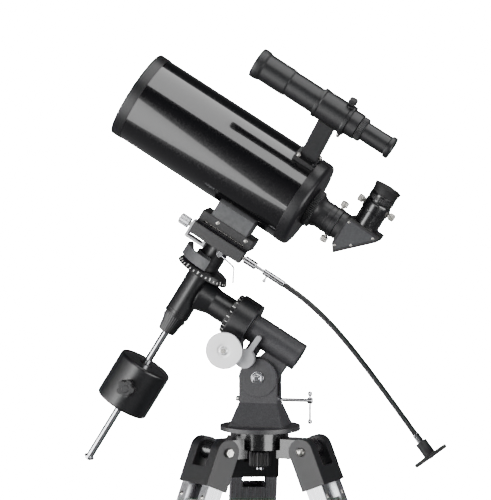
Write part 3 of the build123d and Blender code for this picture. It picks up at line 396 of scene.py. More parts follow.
def drawn_metal(name, colour, along, roughness):
    """Extruded metal: noise stretched into fine lines along one direction."""
    material, tree, shader = bare(name, colour, roughness, metallic=1.0)
    place = add(tree, "ShaderNodeTexCoord").outputs["Object"]
    lie = along.to_track_quat("Z", "Y").inverted().to_euler()
    mapping = add(tree, "ShaderNodeMapping", {"Vector": place, "Rotation": lie})
    long = add(tree, "ShaderNodeVectorMath", {0: mapping.outputs[0], 1: (1, 1, 0.01)},
               operation="MULTIPLY")
    lines = add(tree, "ShaderNodeTexNoise", {"Vector": long.outputs[0],
                                             "Scale": grain_frequency(0.7), "Detail": 3.0})
    bumped(tree, shader, lines.outputs[0], 0.03, 0.4, strength=0.35)
    uneven(tree, shader, lines, roughness - 0.06, roughness + 0.08)
    return material


# %% [markdown]
# Rubber is darker and flatter than plastic. Coated glass shows a green-violet sheen, and the
# mirror is bare aluminium under a film of oxide. White paint fills the engraved marks of the
# circles.

# %% Rubber, glass, mirror and marks
rubber = finish("black_rubber", "#101011", 0.62, grain=(0.5, 0.03, 0.6), sheen=(0.55, 0.72))
glass, tree, shader = bare("coated_optical_glass", "#CFE3DC", 0.02)
shader.inputs["Transmission Weight"].default_value = 0.9
shader.inputs["IOR"].default_value = 1.52
shader.inputs["Coat Weight"].default_value = 0.6
shader.inputs["Coat Tint"].default_value = linear("#8FD0B0")
rough_surface(tree, shader, size_mm=14, depth_mm=0.0005, edge_mm=0.1)
silver = finish("aluminised_glass", "#E9EAEC", 0.03, grain=(11, 0.0005, 0.1), metallic=1.0)
white_marks = finish("white_filled_engraving", "#DADAD6", 0.5, grain=(0.3, 0.02, 0.05),
                     mottle=(1.5, "#CFCFCB", "#E4E4E0"))
cable_skin = finish("black_vinyl_over_wound_wire", "#0E0E10", 0.3, grain=(1.2, 0.05, 0.05),
                    sheen=(0.24, 0.4), coat=0.3, coat_roughness=0.2)
print(len(bpy.data.materials), "finishes so far")

# %% [markdown]
# ## The slow-motion cable
# A wound steel shaft in a vinyl sleeve stands out of its coupling and droops towards the knob. It
# is a smooth curve through a few control points, the same ones as in the CAD route.

# %% Cable
route = [(-104.0, 76.0), (-127.0, 75.2), (-150.0, 72.6), (-173.0, 68.3), (-196.0, 62.4),
         (-219.0, 55.3), (-242.0, 47.4), (-265.0, 39.0), (-288.0, 30.3), (-311.0, 21.4),
         (-334.0, 12.3), (-354.0, 4.2)]
hang = [head(up, -25.5, along) for along, up in route]
line = bpy.data.curves.new("slow_motion_cable_line", "CURVE")
line.dimensions = "3D"
spline = line.splines.new("NURBS")
spline.points.add(len(hang) - 1)
for point, place_on_route in zip(spline.points, hang):
    point.co = (*place_on_route, 1)
spline.order_u = 3
spline.use_endpoint_u = True
spline.resolution_u = 8
line.bevel_depth = 3.8 * MM
line.bevel_resolution = 6
line.use_fill_caps = True
cable = bpy.data.objects.new("slow_motion_cable_sleeve", line)
bpy.context.scene.collection.objects.link(cable)
cable.data.materials.append(cable_skin)
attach(cable, "dec_head")
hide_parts("slow_motion_cable")

# %% [markdown]
# ## Modelling helpers
# Most pieces were made on a lathe, so they are drawn here as a lathe would: a circle, pulled up
# ring by ring and resized. Each helper leaves its piece at the origin about Z; `settle` then lays
# it in its place, rounds its edges and gives it a body and a finish. Normals are weighted by area,
# so that the small rounded edges don't bend the reflections of the long walls beside them.

# %% Lathe, box and finishing helpers


def pick(piece):
    """Selects one piece alone and makes it the active one, as most operators expect."""
    bpy.ops.object.select_all(action="DESELECT")
    piece.select_set(True)
    bpy.context.view_layer.objects.active = piece


def edit(piece):
    pick(piece)
    bpy.ops.object.mode_set(mode="EDIT")
    bpy.ops.mesh.select_mode(type="VERT")


def turned(name, rings, sides=96, flutes=0, depth=0.0, hollow=False):
    """Rings of (radius, height) in millimetres, from the first circle to the last.

    Flutes are grooves round the rim, a depth deep. A hollow piece ends where it began.
    """
    bpy.ops.object.select_all(action="DESELECT")
    radius, level = rings[0]
    count = flutes * 4 if flutes else sides
    bpy.ops.mesh.primitive_circle_add(vertices=count, radius=radius * MM, location=(0, 0, 0))
    piece = bpy.context.object
    piece.name = name
    edit(piece)
    if flutes:
        mesh = bmesh.from_edit_mesh(piece.data)
        for index, vertex in enumerate(mesh.verts):
            vertex.select = index % 4 in (0, 1)
        mesh.select_flush_mode()
        bmesh.update_edit_mesh(piece.data)
        bpy.ops.transform.resize(value=(1 - depth / radius, 1 - depth / radius, 1))
    bpy.ops.mesh.select_all(action="SELECT")
    bpy.ops.transform.translate(value=(0, 0, level * MM))
    for (r0, z0), (r1, z1) in zip(rings, rings[1:] + (rings[:1] if hollow else [])):
        bpy.ops.mesh.extrude_region_move(TRANSFORM_OT_translate={"value": (0, 0, (z1 - z0) * MM)})
        bpy.ops.transform.resize(value=(r1 / r0, r1 / r0, 1))
    bpy.ops.mesh.select_all(action="SELECT")
    bpy.ops.mesh.remove_doubles(threshold=1e-7)
    if not hollow:
        bpy.ops.mesh.select_all(action="DESELECT")
        bpy.ops.mesh.select_non_manifold()
        bpy.ops.mesh.fill_holes(sides=0)
    bpy.ops.mesh.select_all(action="SELECT")
    bpy.ops.mesh.normals_make_consistent(inside=False)
    bpy.ops.object.mode_set(mode="OBJECT")
    return piece


def boxed(name, low, high):
    """A block between two corners in millimetres."""
    bpy.ops.object.select_all(action="DESELECT")
    bpy.ops.mesh.primitive_cube_add(size=1)
    piece = bpy.context.object
    piece.name = name
    size = [(b - a) * MM for a, b in zip(low, high)]
    centre = [(a + b) / 2 * MM for a, b in zip(low, high)]
    bpy.ops.transform.resize(value=size)
    bpy.ops.transform.translate(value=centre)
    bpy.ops.object.transform_apply(location=True, rotation=True, scale=True)
    return piece


def choose(piece, test):
    """In edit mode, selects the faces whose centre and normal pass a test."""
    bpy.ops.mesh.select_all(action="DESELECT")
    bpy.ops.mesh.select_mode(type="FACE")
    mesh = bmesh.from_edit_mesh(piece.data)
    for face in mesh.faces:
        face.select = bool(test(face.calc_center_median(), face.normal))
    bmesh.update_edit_mesh(piece.data)


def lay(piece, where):
    """Moves a piece built at the origin into its place, and puts the place into its mesh."""
    pick(piece)
    piece.matrix_world = where
    bpy.ops.object.transform_apply(location=True, rotation=True, scale=True)
    return piece


def twin(piece, where):
    """A copy of a finished piece with its own mesh, moved by a matrix."""
    pick(piece)
    bpy.ops.object.duplicate(linked=False)
    return lay(bpy.context.object, where)


def joined(name, pieces):
    bpy.ops.object.select_all(action="DESELECT")
    for piece in pieces:
        piece.select_set(True)
    bpy.context.view_layer.objects.active = pieces[0]
    if len(pieces) > 1:
        bpy.ops.object.join()
    pieces[0].name = name
    return pieces[0]


def round_edges(piece, width_mm, angle=32):
    bevel = piece.modifiers.new("rounded", "BEVEL")
    bevel.width = width_mm * MM
    bevel.segments = 2
    bevel.limit_method = "ANGLE"
    bevel.angle_limit = math.radians(angle)
    bpy.context.view_layer.objects.active = piece
    bpy.ops.object.modifier_apply(modifier=bevel.name)


def settle(piece, node, material, where=None, edge=0.3, hides=True, slot=None):
    """Places a piece, rounds and smooths it, and lets it ride with the body of a CAD node."""
    if edge:
        round_edges(piece, edge)
    if where is not None:
        lay(piece, where)
    pick(piece)
    bpy.ops.object.shade_smooth_by_angle(angle=math.radians(32))
    weigh = piece.modifiers.new("weighted", "WEIGHTED_NORMAL")
    weigh.keep_sharp = True
    weigh.weight = 90
    bpy.context.view_layer.objects.active = piece
    bpy.ops.object.modifier_apply(modifier=weigh.name)
    piece.data.materials.clear()
    piece.data.materials.append(material)
    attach(piece, nodes[node]["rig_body"])
    if hides:
        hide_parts(node)
    return piece


def knurled(name, radius, low, high, flutes=24, depth=0.6, lip=0.6):
    """A knob with straight grooves, its two ends drawn in a little."""
    rings = [(radius - lip, low), (radius, low + lip), (radius, high - lip), (radius - lip, high)]
    return turned(name, rings, flutes=flutes, depth=depth)


# %% [markdown]
# ## The main tube and its cells
# The tube is one rolled cylinder between two turned cells. Its ends are hidden in the cells, so
# the lathe profile only needs the wall. Many sides keep the long highlights straight.

# %% Tube, front cell and rear cell
tube = turned("main_tube", [(60, -58), (60, 184), (58.8, 184), (58.8, -58)], sides=192, hollow=True)
settle(tube, "tube", gloss_enamel, TUBE, edge=0.2)
rim = turned("front_cell_ring", [(60.8, 184), (60.8, 197.6), (59.6, 199), (54.4, 199), (53.4, 198),
                                 (51.6, 197.2), (51, 196), (51, 188), (53.5, 188), (53.5, 172),
                                 (58.8, 172), (58.8, 184)], sides=192, hollow=True)
settle(rim, "front_cell", satin_black, TUBE, edge=0.3)
back_profile = [(14, -76), (54.8, -76), (57.9, -75.2), (60, -73.1), (60.8, -70), (60.8, -58),
                (58.8, -58), (58.8, -50), (54, -50), (54, -70), (14, -70)]
back_cell = turned("rear_cell_casting", back_profile, sides=192, hollow=True)
baffle = turned("baffle", [(14, -76), (14, 60), (12.8, 60), (12.8, -76)], sides=64, hollow=True)
settle(joined("rear_cell_casting", [back_cell, baffle]), "rear_cell", satin_black, TUBE)
print("tube and cells", len(tube.data.polygons), "faces in the tube")

# %% [markdown]
# A Maksutov's corrector is a thick, steeply curved meniscus, hollow towards the sky, with a small
# aluminised spot on its inner face that sends the light back down the tube. Both faces are spheres
# of 160 mm, so the profile's points come from the sphere itself.

# %% Corrector and mirror


def sphere_face(centre, radius, edges):
    """Profile points (radius, height) on the near side of a sphere."""
    return [(r, centre - math.sqrt(radius ** 2 - r ** 2)) for r in edges]


steps = [0.02, 8, 16, 24, 32, 40, 48, 53.5]
inner = sphere_face(328.79, 160, steps)
outer = sphere_face(338.79, 160, steps[::-1])
lens = turned("corrector_lens", inner + outer, sides=96)
settle(lens, "corrector", glass, TUBE, edge=0)
patch = [0.02, 5, 10, 14]
spot = turned("corrector_spot", sphere_face(328.3, 160, patch) + sphere_face(328.7, 160, patch[::-1]),
              sides=64)
settle(spot, "corrector", silver, TUBE, edge=0, slot="mirror")
nodes["primary_mirror"].data.materials.clear()
nodes["primary_mirror"].data.materials.append(silver)

# %% [markdown]
# ## Rear fittings
# A knurled ring, a tapering neck and a socket for 1.25-inch barrels. The thumbscrews are modelled
# once, pointing along Z, and copied to each place.

# %% Thumbscrew, slotted screw and domed screw


def thumbscrew(name, reach, out):
    """A nickel thumbscrew whose shank starts at reach and whose knurled head starts at out."""
    shank = turned(name + "_shank", [(2, reach), (2, out + 0.5)], sides=24)
    neck = turned(name + "_neck", [(3.4, out - 1.2), (3.6, out)], sides=32)
    cap = knurled(name + "_cap", 5.2, out, out + 7.5, flutes=26, depth=0.5)
    button = turned(name + "_button", [(3.6, out + 7.4), (3.2, out + 8.0)], sides=32)
    return joined(name, [cap, neck, shank, button])


def slotted_screw(name, radius, height, slot_depth=0.8):
    """A cheese-head screw standing on Z = 0, with a slot cut by a bar."""
    screw = turned(name, [(radius * 0.9, -0.4), (radius, 0), (radius, height * 0.7),
                          (radius * 0.8, height), (radius * 0.4, height + 0.1)], sides=32)
    bar = boxed(name + "_bar", (-radius * 2, -radius * 0.14, height - slot_depth),
                (radius * 2, radius * 0.14, height + 2))
    cut = screw.modifiers.new("slot", "BOOLEAN")
    cut.object = bar
    cut.operation = "DIFFERENCE"
    bpy.context.view_layer.objects.active = screw
    bpy.ops.object.modifier_apply(modifier=cut.name)
    bpy.data.objects.remove(bar)
    return screw


def thumbscrew_pair(name, node, reach, out, place, level):
    """Two thumbscrews, left and right of a socket, a level up its axis."""
    screw = thumbscrew(name[:-1], reach, out)
    screws = [twin(screw, place @ Matrix.Translation((0, 0, level * MM)) @
                   Matrix.Rotation(math.radians(90 * sign), 4, "Y")) for sign in (-1, 1)]
    bpy.data.objects.remove(screw)
    settle(joined(name, screws), node, nickel, edge=0.15, slot="chrome")


# %% Visual back
ring = knurled("visual_back_knurl", 26, -86.5, -76, flutes=60, depth=0.7, lip=0.8)
neck = turned("visual_back_neck", [(22.6, -86.5), (22.4, -87.2), (19.6, -94.5), (19.6, -111),
                                   (20.6, -111.6), (20.6, -118.4), (20, -119), (15.95, -119),
                                   (15.95, -90), (12.8, -90), (12.8, -76), (22.6, -76)],
              hollow=True)
groove = turned("visual_back_groove", [(19.9, -104.4), (20.1, -104), (20.1, -102.6), (19.9, -102.2)])
settle(joined("visual_back_body", [ring, neck, groove]), "visual_back", satin_black, TUBE)
thumbscrew_pair("visual_back_screws", "visual_back", 16.3, 23.1, TUBE, -113.5)

# %% Focus knob
knob = knurled("focus_knob_grip", 9, -95, -77.5, flutes=34, depth=0.5, lip=0.9)
stem = turned("focus_knob_stem", [(3, -78), (3, -56)], sides=32)
settle(joined("focus_knob_grip", [knob, stem]), "focus_knob", abs_black,
       TUBE @ Matrix.Translation((0, 40 * MM, 0)))

# %% [markdown]
# ## Star diagonal
# A cast right-angle box. A block is cut by planes, as a saw would cut it, each cut closed over.
# Its two side plates sit in a shallow frame, held by small bright screws in the corners.

# %% Diagonal housing
DIAGONAL = facing(head(178, 0, 0), side, polar)
corners = [(-127, 16), (-127, -22), (-135, -33), (-177, 10), (-177, 18), (-131, 20)]


def sawn(piece, inset_mm=0.0):
    """Cuts a block along the housing's outline, an inset further in."""
    edit(piece)
    for (x0, y0), (x1, y1) in zip(corners, corners[1:] + corners[:1]):
        bpy.ops.mesh.select_all(action="SELECT")
        normal = Vector((y1 - y0, x0 - x1, 0)).normalized() * -1
        bpy.ops.mesh.bisect(plane_co=Vector((x0 * MM, y0 * MM, 0)) - normal * inset_mm * MM,
                            plane_no=normal, use_fill=True, clear_outer=True)
    bpy.ops.object.mode_set(mode="OBJECT")
    return piece


housing = sawn(boxed("diagonal_housing", (-177, -34, -19), (-127, 20, 19)))
round_edges(housing, 1.6)
edit(housing)
choose(housing, lambda centre, normal: abs(normal.z) > 0.99)
bpy.ops.mesh.inset(thickness=2.4 * MM, depth=0, use_individual=True)
bpy.ops.mesh.inset(thickness=0.3 * MM, depth=-0.6 * MM, use_individual=True)
bpy.ops.object.mode_set(mode="OBJECT")
nose = turned("diagonal_nose", [(13.5, -131), (19.6, -128), (19.6, -119.4), (15.87, -119.3),
                                (15.87, -97.5), (15.3, -97), (13.5, -97)], hollow=True)
lay(nose, facing(Vector((0, 0, 0)), Vector((1, 0, 0)), Vector((0, 1, 0))))
settle(joined("diagonal_housing", [housing, nose]), "star_diagonal", abs_black, DIAGONAL, edge=0.2)
plates = []
for sign in (-1, 1):
    low, high = sorted((sign * 18.2, sign * 18.7))
    plates.append(sawn(boxed("diagonal_plate", (-174, -30, low), (-129.5, 17, high)), 2.9))
settle(joined("diagonal_side_plates", plates), "star_diagonal", dark_plate, DIAGONAL, edge=0.15)
screw = slotted_screw("small_screw", 1.7, 1.0, 0.6)
spots = [(-132.6, 13.4), (-132.2, -22.5), (-170.5, 12.2), (-150.5, -11)]
screws = [twin(screw, DIAGONAL @ Matrix.Translation((x * MM, y * MM, sign * 18.6 * MM)) @
               Matrix.Rotation(math.radians(0 if sign > 0 else 180), 4, "X"))
          for x, y in spots for sign in (-1, 1)]
bpy.data.objects.remove(screw)
settle(joined("diagonal_screws", screws), "star_diagonal", nickel, edge=0, slot="chrome")

# %% [markdown]
# ## Eyepiece
# The socket has a raised collar that carries two thumbscrews. The eyepiece is a turned body with a
# gloss finish, an eye lens set below its top and a soft cup that flares out.

# %% Eyepiece holder and eyepiece
holder = turned("holder_socket", [(17.4, 195.5), (17.4, 217.6), (18.6, 218.2), (18.6, 228.6),
                                  (17.8, 229.4), (17.4, 231.4), (16.8, 232), (15.95, 232),
                                  (15.95, 200.5), (13.5, 200.5), (13.5, 195.5)], hollow=True)
settle(holder, "eyepiece_holder", cast_enamel, EYE, edge=0.25)
thumbscrew_pair("holder_screws", "eyepiece_holder", 16.3, 19.9, EYE, 224)
barrel = turned("eyepiece_barrel", [(15.875, 206), (15.875, 232.3), (16.9, 232.5), (17.4, 233.2),
                                    (17.4, 243), (16.6, 244), (11, 244), (11, 234), (13, 234),
                                    (13, 206)], hollow=True)
settle(barrel, "eyepiece", cast_enamel, EYE, edge=0.2)
grip = knurled("eyepiece_grip", 17.7, 234.6, 240.6, flutes=44, depth=0.35, lip=0.4)
eye_lens = turned("eyepiece_lens", [(0.02, 236.4), (8, 236.9), (11, 237.4), (11, 239.4), (8, 240.3),
                                    (0.02, 240.9)], sides=64)
settle(eye_lens, "eyepiece", glass, EYE, edge=0, slot="lens_glass")
field = turned("field_lens", [(0.02, 218), (9, 218.5), (13, 219.4), (13, 221), (9, 222.4),
                              (0.02, 223)], sides=64)
settle(field, "eyepiece", glass, EYE, edge=0, slot="lens_glass")
cup = turned("eyecup", [(17.3, 244), (17.5, 246.2), (17.9, 250), (19.1, 253.6), (19.4, 254.1),
                        (18.9, 254.5), (18.0, 253.6), (14.6, 247.6), (12, 246.6), (12, 244)],
             hollow=True)
settle(cup, "eyepiece", rubber, EYE, edge=0.2, slot="rubber")
settle(grip, "eyepiece", abs_black, EYE, edge=0)
print("rear fittings done")

# %% [markdown]
# ## Finder
# A straight-through finder: a flared objective bell, a long barrel, a knurled focusing ring and a
# narrower eye tube with a rubber-rimmed end. One ring on a tall post holds it, with a black
# thumbscrew on top and a spring plunger underneath.

# %% Finder
barrel = turned("finder_barrel", [(17.9, -83), (17.9, 22), (18.4, 23.4), (19, 25), (19, 60.6),
                                  (19.6, 62.4), (20.7, 65.4), (20.7, 73.8), (20, 75), (17.6, 75),
                                  (15, 71.6), (15, -83)], sides=128, hollow=True)
band = knurled("finder_front_band", 20.95, 67.4, 71.6, flutes=56, depth=0.3, lip=0.35)
settle(joined("finder_barrel", [barrel, band]), "finder_tube", satin_black, FINDER, edge=0.3)
objective = turned("finder_objective", [(0.02, 58.2), (8, 58.8), (15, 60.2), (15, 63.4), (8, 64.8),
                                        (0.02, 65.3)], sides=64)
settle(objective, "finder_tube", glass, FINDER, edge=0, slot="lens_glass")
focus = knurled("finder_focus_ring", 16.7, -92, -83.2, flutes=40, depth=0.6, lip=0.8)
eye_tube = turned("finder_eye_tube", [(13.2, -92), (13.2, -128), (15.0, -128.6), (15.3, -129.4),
                                      (15.3, -133.8), (14.6, -135), (10.6, -135), (9, -133),
                                      (9, -83), (13.2, -83)], hollow=True)
settle(joined("finder_eye_tube", [eye_tube, focus]), "finder_eye_end", satin_black, FINDER)
eye_glass = turned("finder_eye_lens", [(0.02, -132.4), (6, -132), (9, -131.2), (9, -129.2),
                                       (0.02, -128)], sides=48)
settle(eye_glass, "finder_eye_end", glass, FINDER, edge=0, slot="lens_glass")

# %% Finder ring, its screw and its plunger
ring = turned("finder_ring", [(21, -69), (21, -64.6), (20.3, -63.8), (20.3, -26.2), (21, -25.4),
                              (21, -21), (18.1, -21), (18.1, -69)], sides=128, hollow=True)
settle(ring, "finder_bracket", satin_black, FINDER, edge=0.4)
top = FINDER @ Matrix.Translation((0, 0, -61 * MM)) @ Matrix.Rotation(math.radians(90), 4, "Y")
boss = turned("finder_screw_boss", [(5.4, 18.6), (5.4, 22.2), (4.9, 22.8)], sides=32)
shank = turned("finder_screw_shank", [(2, 18.2), (2, 27)], sides=24)
cap = knurled("finder_screw_cap", 5.8, 26, 33, flutes=20, depth=0.6)
settle(joined("finder_thumbscrew", [cap, boss, shank]), "finder_bracket", satin_black, top,
       edge=0.2, slot="satin_black")
under = FINDER @ Matrix.Translation((0, 0, -64 * MM)) @ Matrix.Rotation(math.radians(-90), 4, "Y")
seat = turned("plunger_seat", [(5.2, 18.6), (5.2, 22.6), (4.2, 24.2)], sides=32)
settle(seat, "finder_bracket", satin_black, under, edge=0.2, slot="satin_black")
plunger = turned("finder_plunger", [(2.4, 18.2), (2.4, 24.2), (3.1, 24.4), (3.1, 28), (2.5, 28.6),
                                    (2.5, 30.6), (1.6, 31)], sides=32)
settle(plunger, "finder_bracket", nickel, under, edge=0.1, slot="chrome")

# %% Post screws
SHOE = facing(FINDER @ Vector((-83 * MM, 0, -44 * MM)), FINDER.to_3x3() @ Vector((1, 0, 0)), polar)
screw = slotted_screw("post_screw", 3.2, 3.9, 0.9)
screws = [twin(screw, SHOE @ Matrix.Translation((12 * sign * MM, 10 * sign * MM, 0)))
          for sign in (-1, 1)]
bpy.data.objects.remove(screw)
settle(joined("post_screws", screws), "finder_stem", nickel, edge=0, hides=False, slot="chrome")
print("finder done")

# %% [markdown]
# ## Counterweight
# A cast iron drum in satin black with softly rounded rims, clamped to a chromed bar by a five-
# lobed knob. The lobes are one small cylinder copied five times round the hub and merged with it.

# %% Bar, drum and knob


def lobed(name, core, lobe, reach, count, low, high):
    """A knob with round lobes: cylinders merged into a hub."""
    hub = turned(name, [(core, low), (core, high)], sides=48)
    for index in range(count):
        angle = 2 * math.pi * index / count
        arm = turned(name + "_lobe", [(lobe, low + 0.4), (lobe, high - 0.3)], sides=32)
        lay(arm, Matrix.Translation((reach * math.cos(angle) * MM, reach * math.sin(angle) * MM, 0)))
        merge = hub.modifiers.new("merge", "BOOLEAN")
        merge.operation = "UNION"
        merge.object = arm
        bpy.context.view_layer.objects.active = hub
        bpy.ops.object.modifier_apply(modifier=merge.name)
        bpy.data.objects.remove(arm)
    return hub


bar = turned("counterweight_rod", [(5, -267), (5, -36)], sides=64)
toe = turned("toe_washer", [(7, -270), (7, -267)], sides=64)
toe_screw = turned("toe_screw", [(2.6, -273), (4.4, -272.4), (4.5, -270)], sides=48)
settle(joined("counterweight_rod", [bar, toe, toe_screw]), "counterweight_bar", chrome, DEC,
       edge=0.3)
drum = turned("counterweight_drum", [(5.3, -185.5), (32.6, -185.5), (34.9, -184.9), (36.1, -183.6),
                                     (36.5, -181.8), (36.5, -123.2), (36.1, -121.4),
                                     (34.9, -120.1), (32.6, -119.5), (5.3, -119.5)],
              sides=160, hollow=True)
boss = turned("counterweight_collar", [(9.5, -119.6), (9.5, -118.6), (5.4, -118.6), (5.4, -119.6)],
              sides=48, hollow=True)
settle(joined("counterweight_drum", [drum, boss]), "counterweight", satin_paint, DEC, edge=0.3)
WEIGHT = facing(head(-152.5, 0, 0), -side, dec)
knob = lobed("counterweight_knob_head", 9, 4.5, 7.5, 5, 37.5, 50.3)
cap = turned("counterweight_knob_cap", [(5, 50.2), (4.6, 51)], sides=48)
shank = turned("counterweight_knob_shank", [(4, 6), (4, 38)], sides=32)
settle(joined("counterweight_knob_head", [knob, cap, shank]), "counterweight_knob", abs_black,
       WEIGHT, edge=0.8)
print("counterweight done")

# %% [markdown]
# ## Right-ascension controls
# The bright hand wheel is a faced aluminium disc: fine rings run round its face. Behind it the
# black setting circle carries white engraved marks, longer at every sixth.

# %% Hand wheel
SLOW = facing(head(-38.5, 0, -84), -side, dec)
wheel_metal = turned_metal("faced_aluminium", "#F2F2F3", SLOW, 1.1, 0.45)
wheel = turned("hand_wheel", [(8, 30.2), (8, 38.6), (9.2, 39.6), (12, 40), (23.6, 40), (24.5, 40.8),
                              (24.5, 43.2), (23.7, 44), (9.4, 44), (8.6, 43.6), (6, 43.6),
                              (5.5, 44), (4.6, 46.6), (4.0, 47), (3.05, 47), (3.05, 30.2)],
               sides=128, hollow=True)
settle(wheel, "ra_hand_wheel", wheel_metal, SLOW, edge=0.2)
screw = slotted_screw("hand_wheel_screw", 2.8, 2.0, 0.9)
settle(lay(screw, Matrix.Translation((0, 0, 47.2 * MM))), "ra_hand_wheel", nickel, SLOW, edge=0,
       hides=False, slot="chrome")

# %% Marks on the circles


def marks(name, radius, low, slope, count, long_every, sizes, body_node, where):
    """White strokes round a circle; slope leans them along a cone's side."""
    strokes = []
    half, short, long = sizes
    for size, every in ((long, True), (short, False)):
        stroke = boxed(name, (-0.3, -half, low), (0.12, half, low + size))
        lay(stroke, Matrix.Rotation(slope, 4, "Y"))
        lay(stroke, Matrix.Translation((radius * MM, 0, 0)))
        for index in range(count):
            if (index % long_every == 0) == every:
                strokes.append(twin(stroke, Matrix.Rotation(2 * math.pi * index / count, 4, "Z")))
        bpy.data.objects.remove(stroke)
    return settle(joined(name, strokes), body_node, white_marks, where, edge=0, hides=False)


circle = turned("ra_circle", [(21.3, -66), (28, -66), (28.3, -65.6), (28.3, -60.6), (27.8, -60),
                              (21.3, -60)], sides=128, hollow=True)
settle(circle, "ra_setting_circle", satin_black, POLAR, edge=0.2)
marks("ra_marks", 28.3, -65.2, 0, 24, 2, (0.55, 3.0, 4.4), "ra_setting_circle", POLAR)
print("circles: right ascension done")

# %% [markdown]
# The declination circle is a shallow cone, so its strokes lean with the cone's side.

# %% Declination circle
cone = turned("dec_circle", [(14.3, 24.5), (36.5, 24.5), (37, 25), (33.4, 32.1), (32.8, 32.5),
                             (14.3, 32.5)], sides=128, hollow=True)
settle(cone, "dec_setting_circle", satin_black, DEC, edge=0.2)
lean = -math.atan(3.6 / 7.1)
marks("dec_marks", 36.85, 1.4, lean, 36, 3, (0.9, 2.4, 4.2), "dec_setting_circle",
      DEC @ Matrix.Translation((0, 0, 25.4 * MM)))

# %% [markdown]
# ## Declination slow motion
# A steel worm runs through the block under the saddle. Its near end has a bright knurled grip; the
# other end carries a chromed coupling that pinches the flexible shaft with a ball-headed screw.

# %% Worm, grip and coupling


def ball(name, radius, centre, sides=32):
    """A sphere turned on the lathe, round a point of Z."""
    rings = [(max(radius * math.sin(math.pi * step / 12), 0.02),
              centre - radius * math.cos(math.pi * step / 12)) for step in range(13)]
    return turned(name, rings, sides=sides)


WORM = facing(head(76, -25.5, 0), polar, dec)
threads = [(3, -52), (3, -14.2)]
for level in range(-13, 14, 2):
    threads += [(5.1, level - 0.9), (6.3, level), (5.1, level + 0.9)]
worm = turned("dec_worm_steel", threads + [(3, 14.2), (3, 46)], sides=48)
settle(worm, "dec_worm", nickel, WORM, edge=0, slot="steel")
grip = knurled("dec_worm_grip", 7.5, 44.6, 59.4, flutes=20, depth=0.5, lip=0.9)
face = turned("dec_worm_face", [(5.6, 59.3), (5.2, 60)], sides=48)
settle(joined("dec_worm_grip", [grip, face]), "dec_worm", chrome, WORM, edge=0.15, slot="chrome")
COUPLING = facing(head(76, -25.5, -39), -polar, dec)
sleeve = turned("coupling_sleeve", [(3.05, 3), (4.8, 3), (5.3, 3.6), (5.3, 20.4), (4.7, 21),
                                    (2.3, 21), (2.3, 32.7), (4.1, 32.7), (4.5, 33.2), (4.5, 64.2),
                                    (4.1, 64.7), (0.02, 64.7), (0.02, 13), (3.05, 13)], hollow=True)
settle(sleeve, "cable_coupling", chrome, COUPLING, edge=0.15)
pinch = COUPLING @ Matrix.Translation((0, 0, 39.7 * MM)) @ Matrix.Rotation(math.radians(-90), 4, "Y")
screw = joined("coupling_screw", [turned("coupling_stem", [(1.3, 3), (1.3, 8.6)], sides=24),
                                  ball("coupling_ball", 2.6, 10.5)])
settle(screw, "cable_coupling", chrome, pinch, edge=0)

# %% Grip on the cable
GRIP = facing(hang[-1], hang[-1] - hang[-2], side)
ferrule = turned("grip_ferrule", [(3.9, 0), (4.4, 0), (4.7, 0.4), (4.7, 12), (3.9, 12)], sides=64,
                 hollow=True)
ferrule = settle(ferrule, "cable_knob", chrome, GRIP, edge=0.1, slot="chrome")
hub = turned("grip_hub", [(7.4, 12), (8.1, 12.8), (8.1, 31.4), (9.4, 32.2)], sides=64)
disc = turned("grip_disc", [(8.6, 32), (23.4, 32), (24.7, 33), (24.7, 36.2), (23.6, 37.4),
                            (11, 37.4), (10.2, 36.8)], flutes=60, depth=0.25)
grip = settle(joined("cable_grip_disc", [disc, hub]), "cable_knob", abs_black, GRIP, edge=0.3)
screw = slotted_screw("grip_screw", 2.6, 1.4, 0.7)
screw = settle(screw, "cable_knob", nickel, GRIP @ Matrix.Translation((0, 0, 36.8 * MM)), edge=0,
               hides=False, slot="chrome")
print("slow motion done")

# %% [markdown]
# ## Latitude bolt, T-bolt and azimuth knob
# The latitude pivot shows a polished hexagon nut on a washer. The T-bolt's cross handle is a plain
# rod with a ball pressed on each end.

# %% Latitude pivot
PIVOT = Vector(joints["latitude_tilt"]["pos_m"])
NEAR = facing(PIVOT, -side, Vector((1, 0, 0)))
washer = turned("latitude_washer", [(4.1, 17.5), (8.3, 17.5), (8.5, 17.8), (8.5, 18.9), (8.2, 19.1),
                                    (4.1, 19.1)], sides=64, hollow=True)
nut = turned("latitude_nut", [(6.4, 19.1), (6.8, 19.5), (6.8, 24.1), (6.1, 24.6)], sides=6)
bolt = turned("latitude_bolt_end", [(4, -25.5), (4, 24.8), (3.3, 25.6)], sides=48)
far_head = turned("latitude_bolt_head", [(7.2, -24.5), (8, -23.8), (8, -18), (7.6, -17.5)], sides=64)
settle(joined("latitude_bolt", [nut, washer, bolt, far_head]), "latitude_pivot", chrome, NEAR,
       edge=0.25)
set_screw = slotted_screw("latitude_set_screw", 3.6, 4.0, 1.0)
settle(set_screw, "latitude_pivot", nickel,
       facing(PIVOT + Vector((-28.5, 0, -30)) * MM, Vector((-1, 0, 0)), Vector((0, 0, 1))), edge=0)

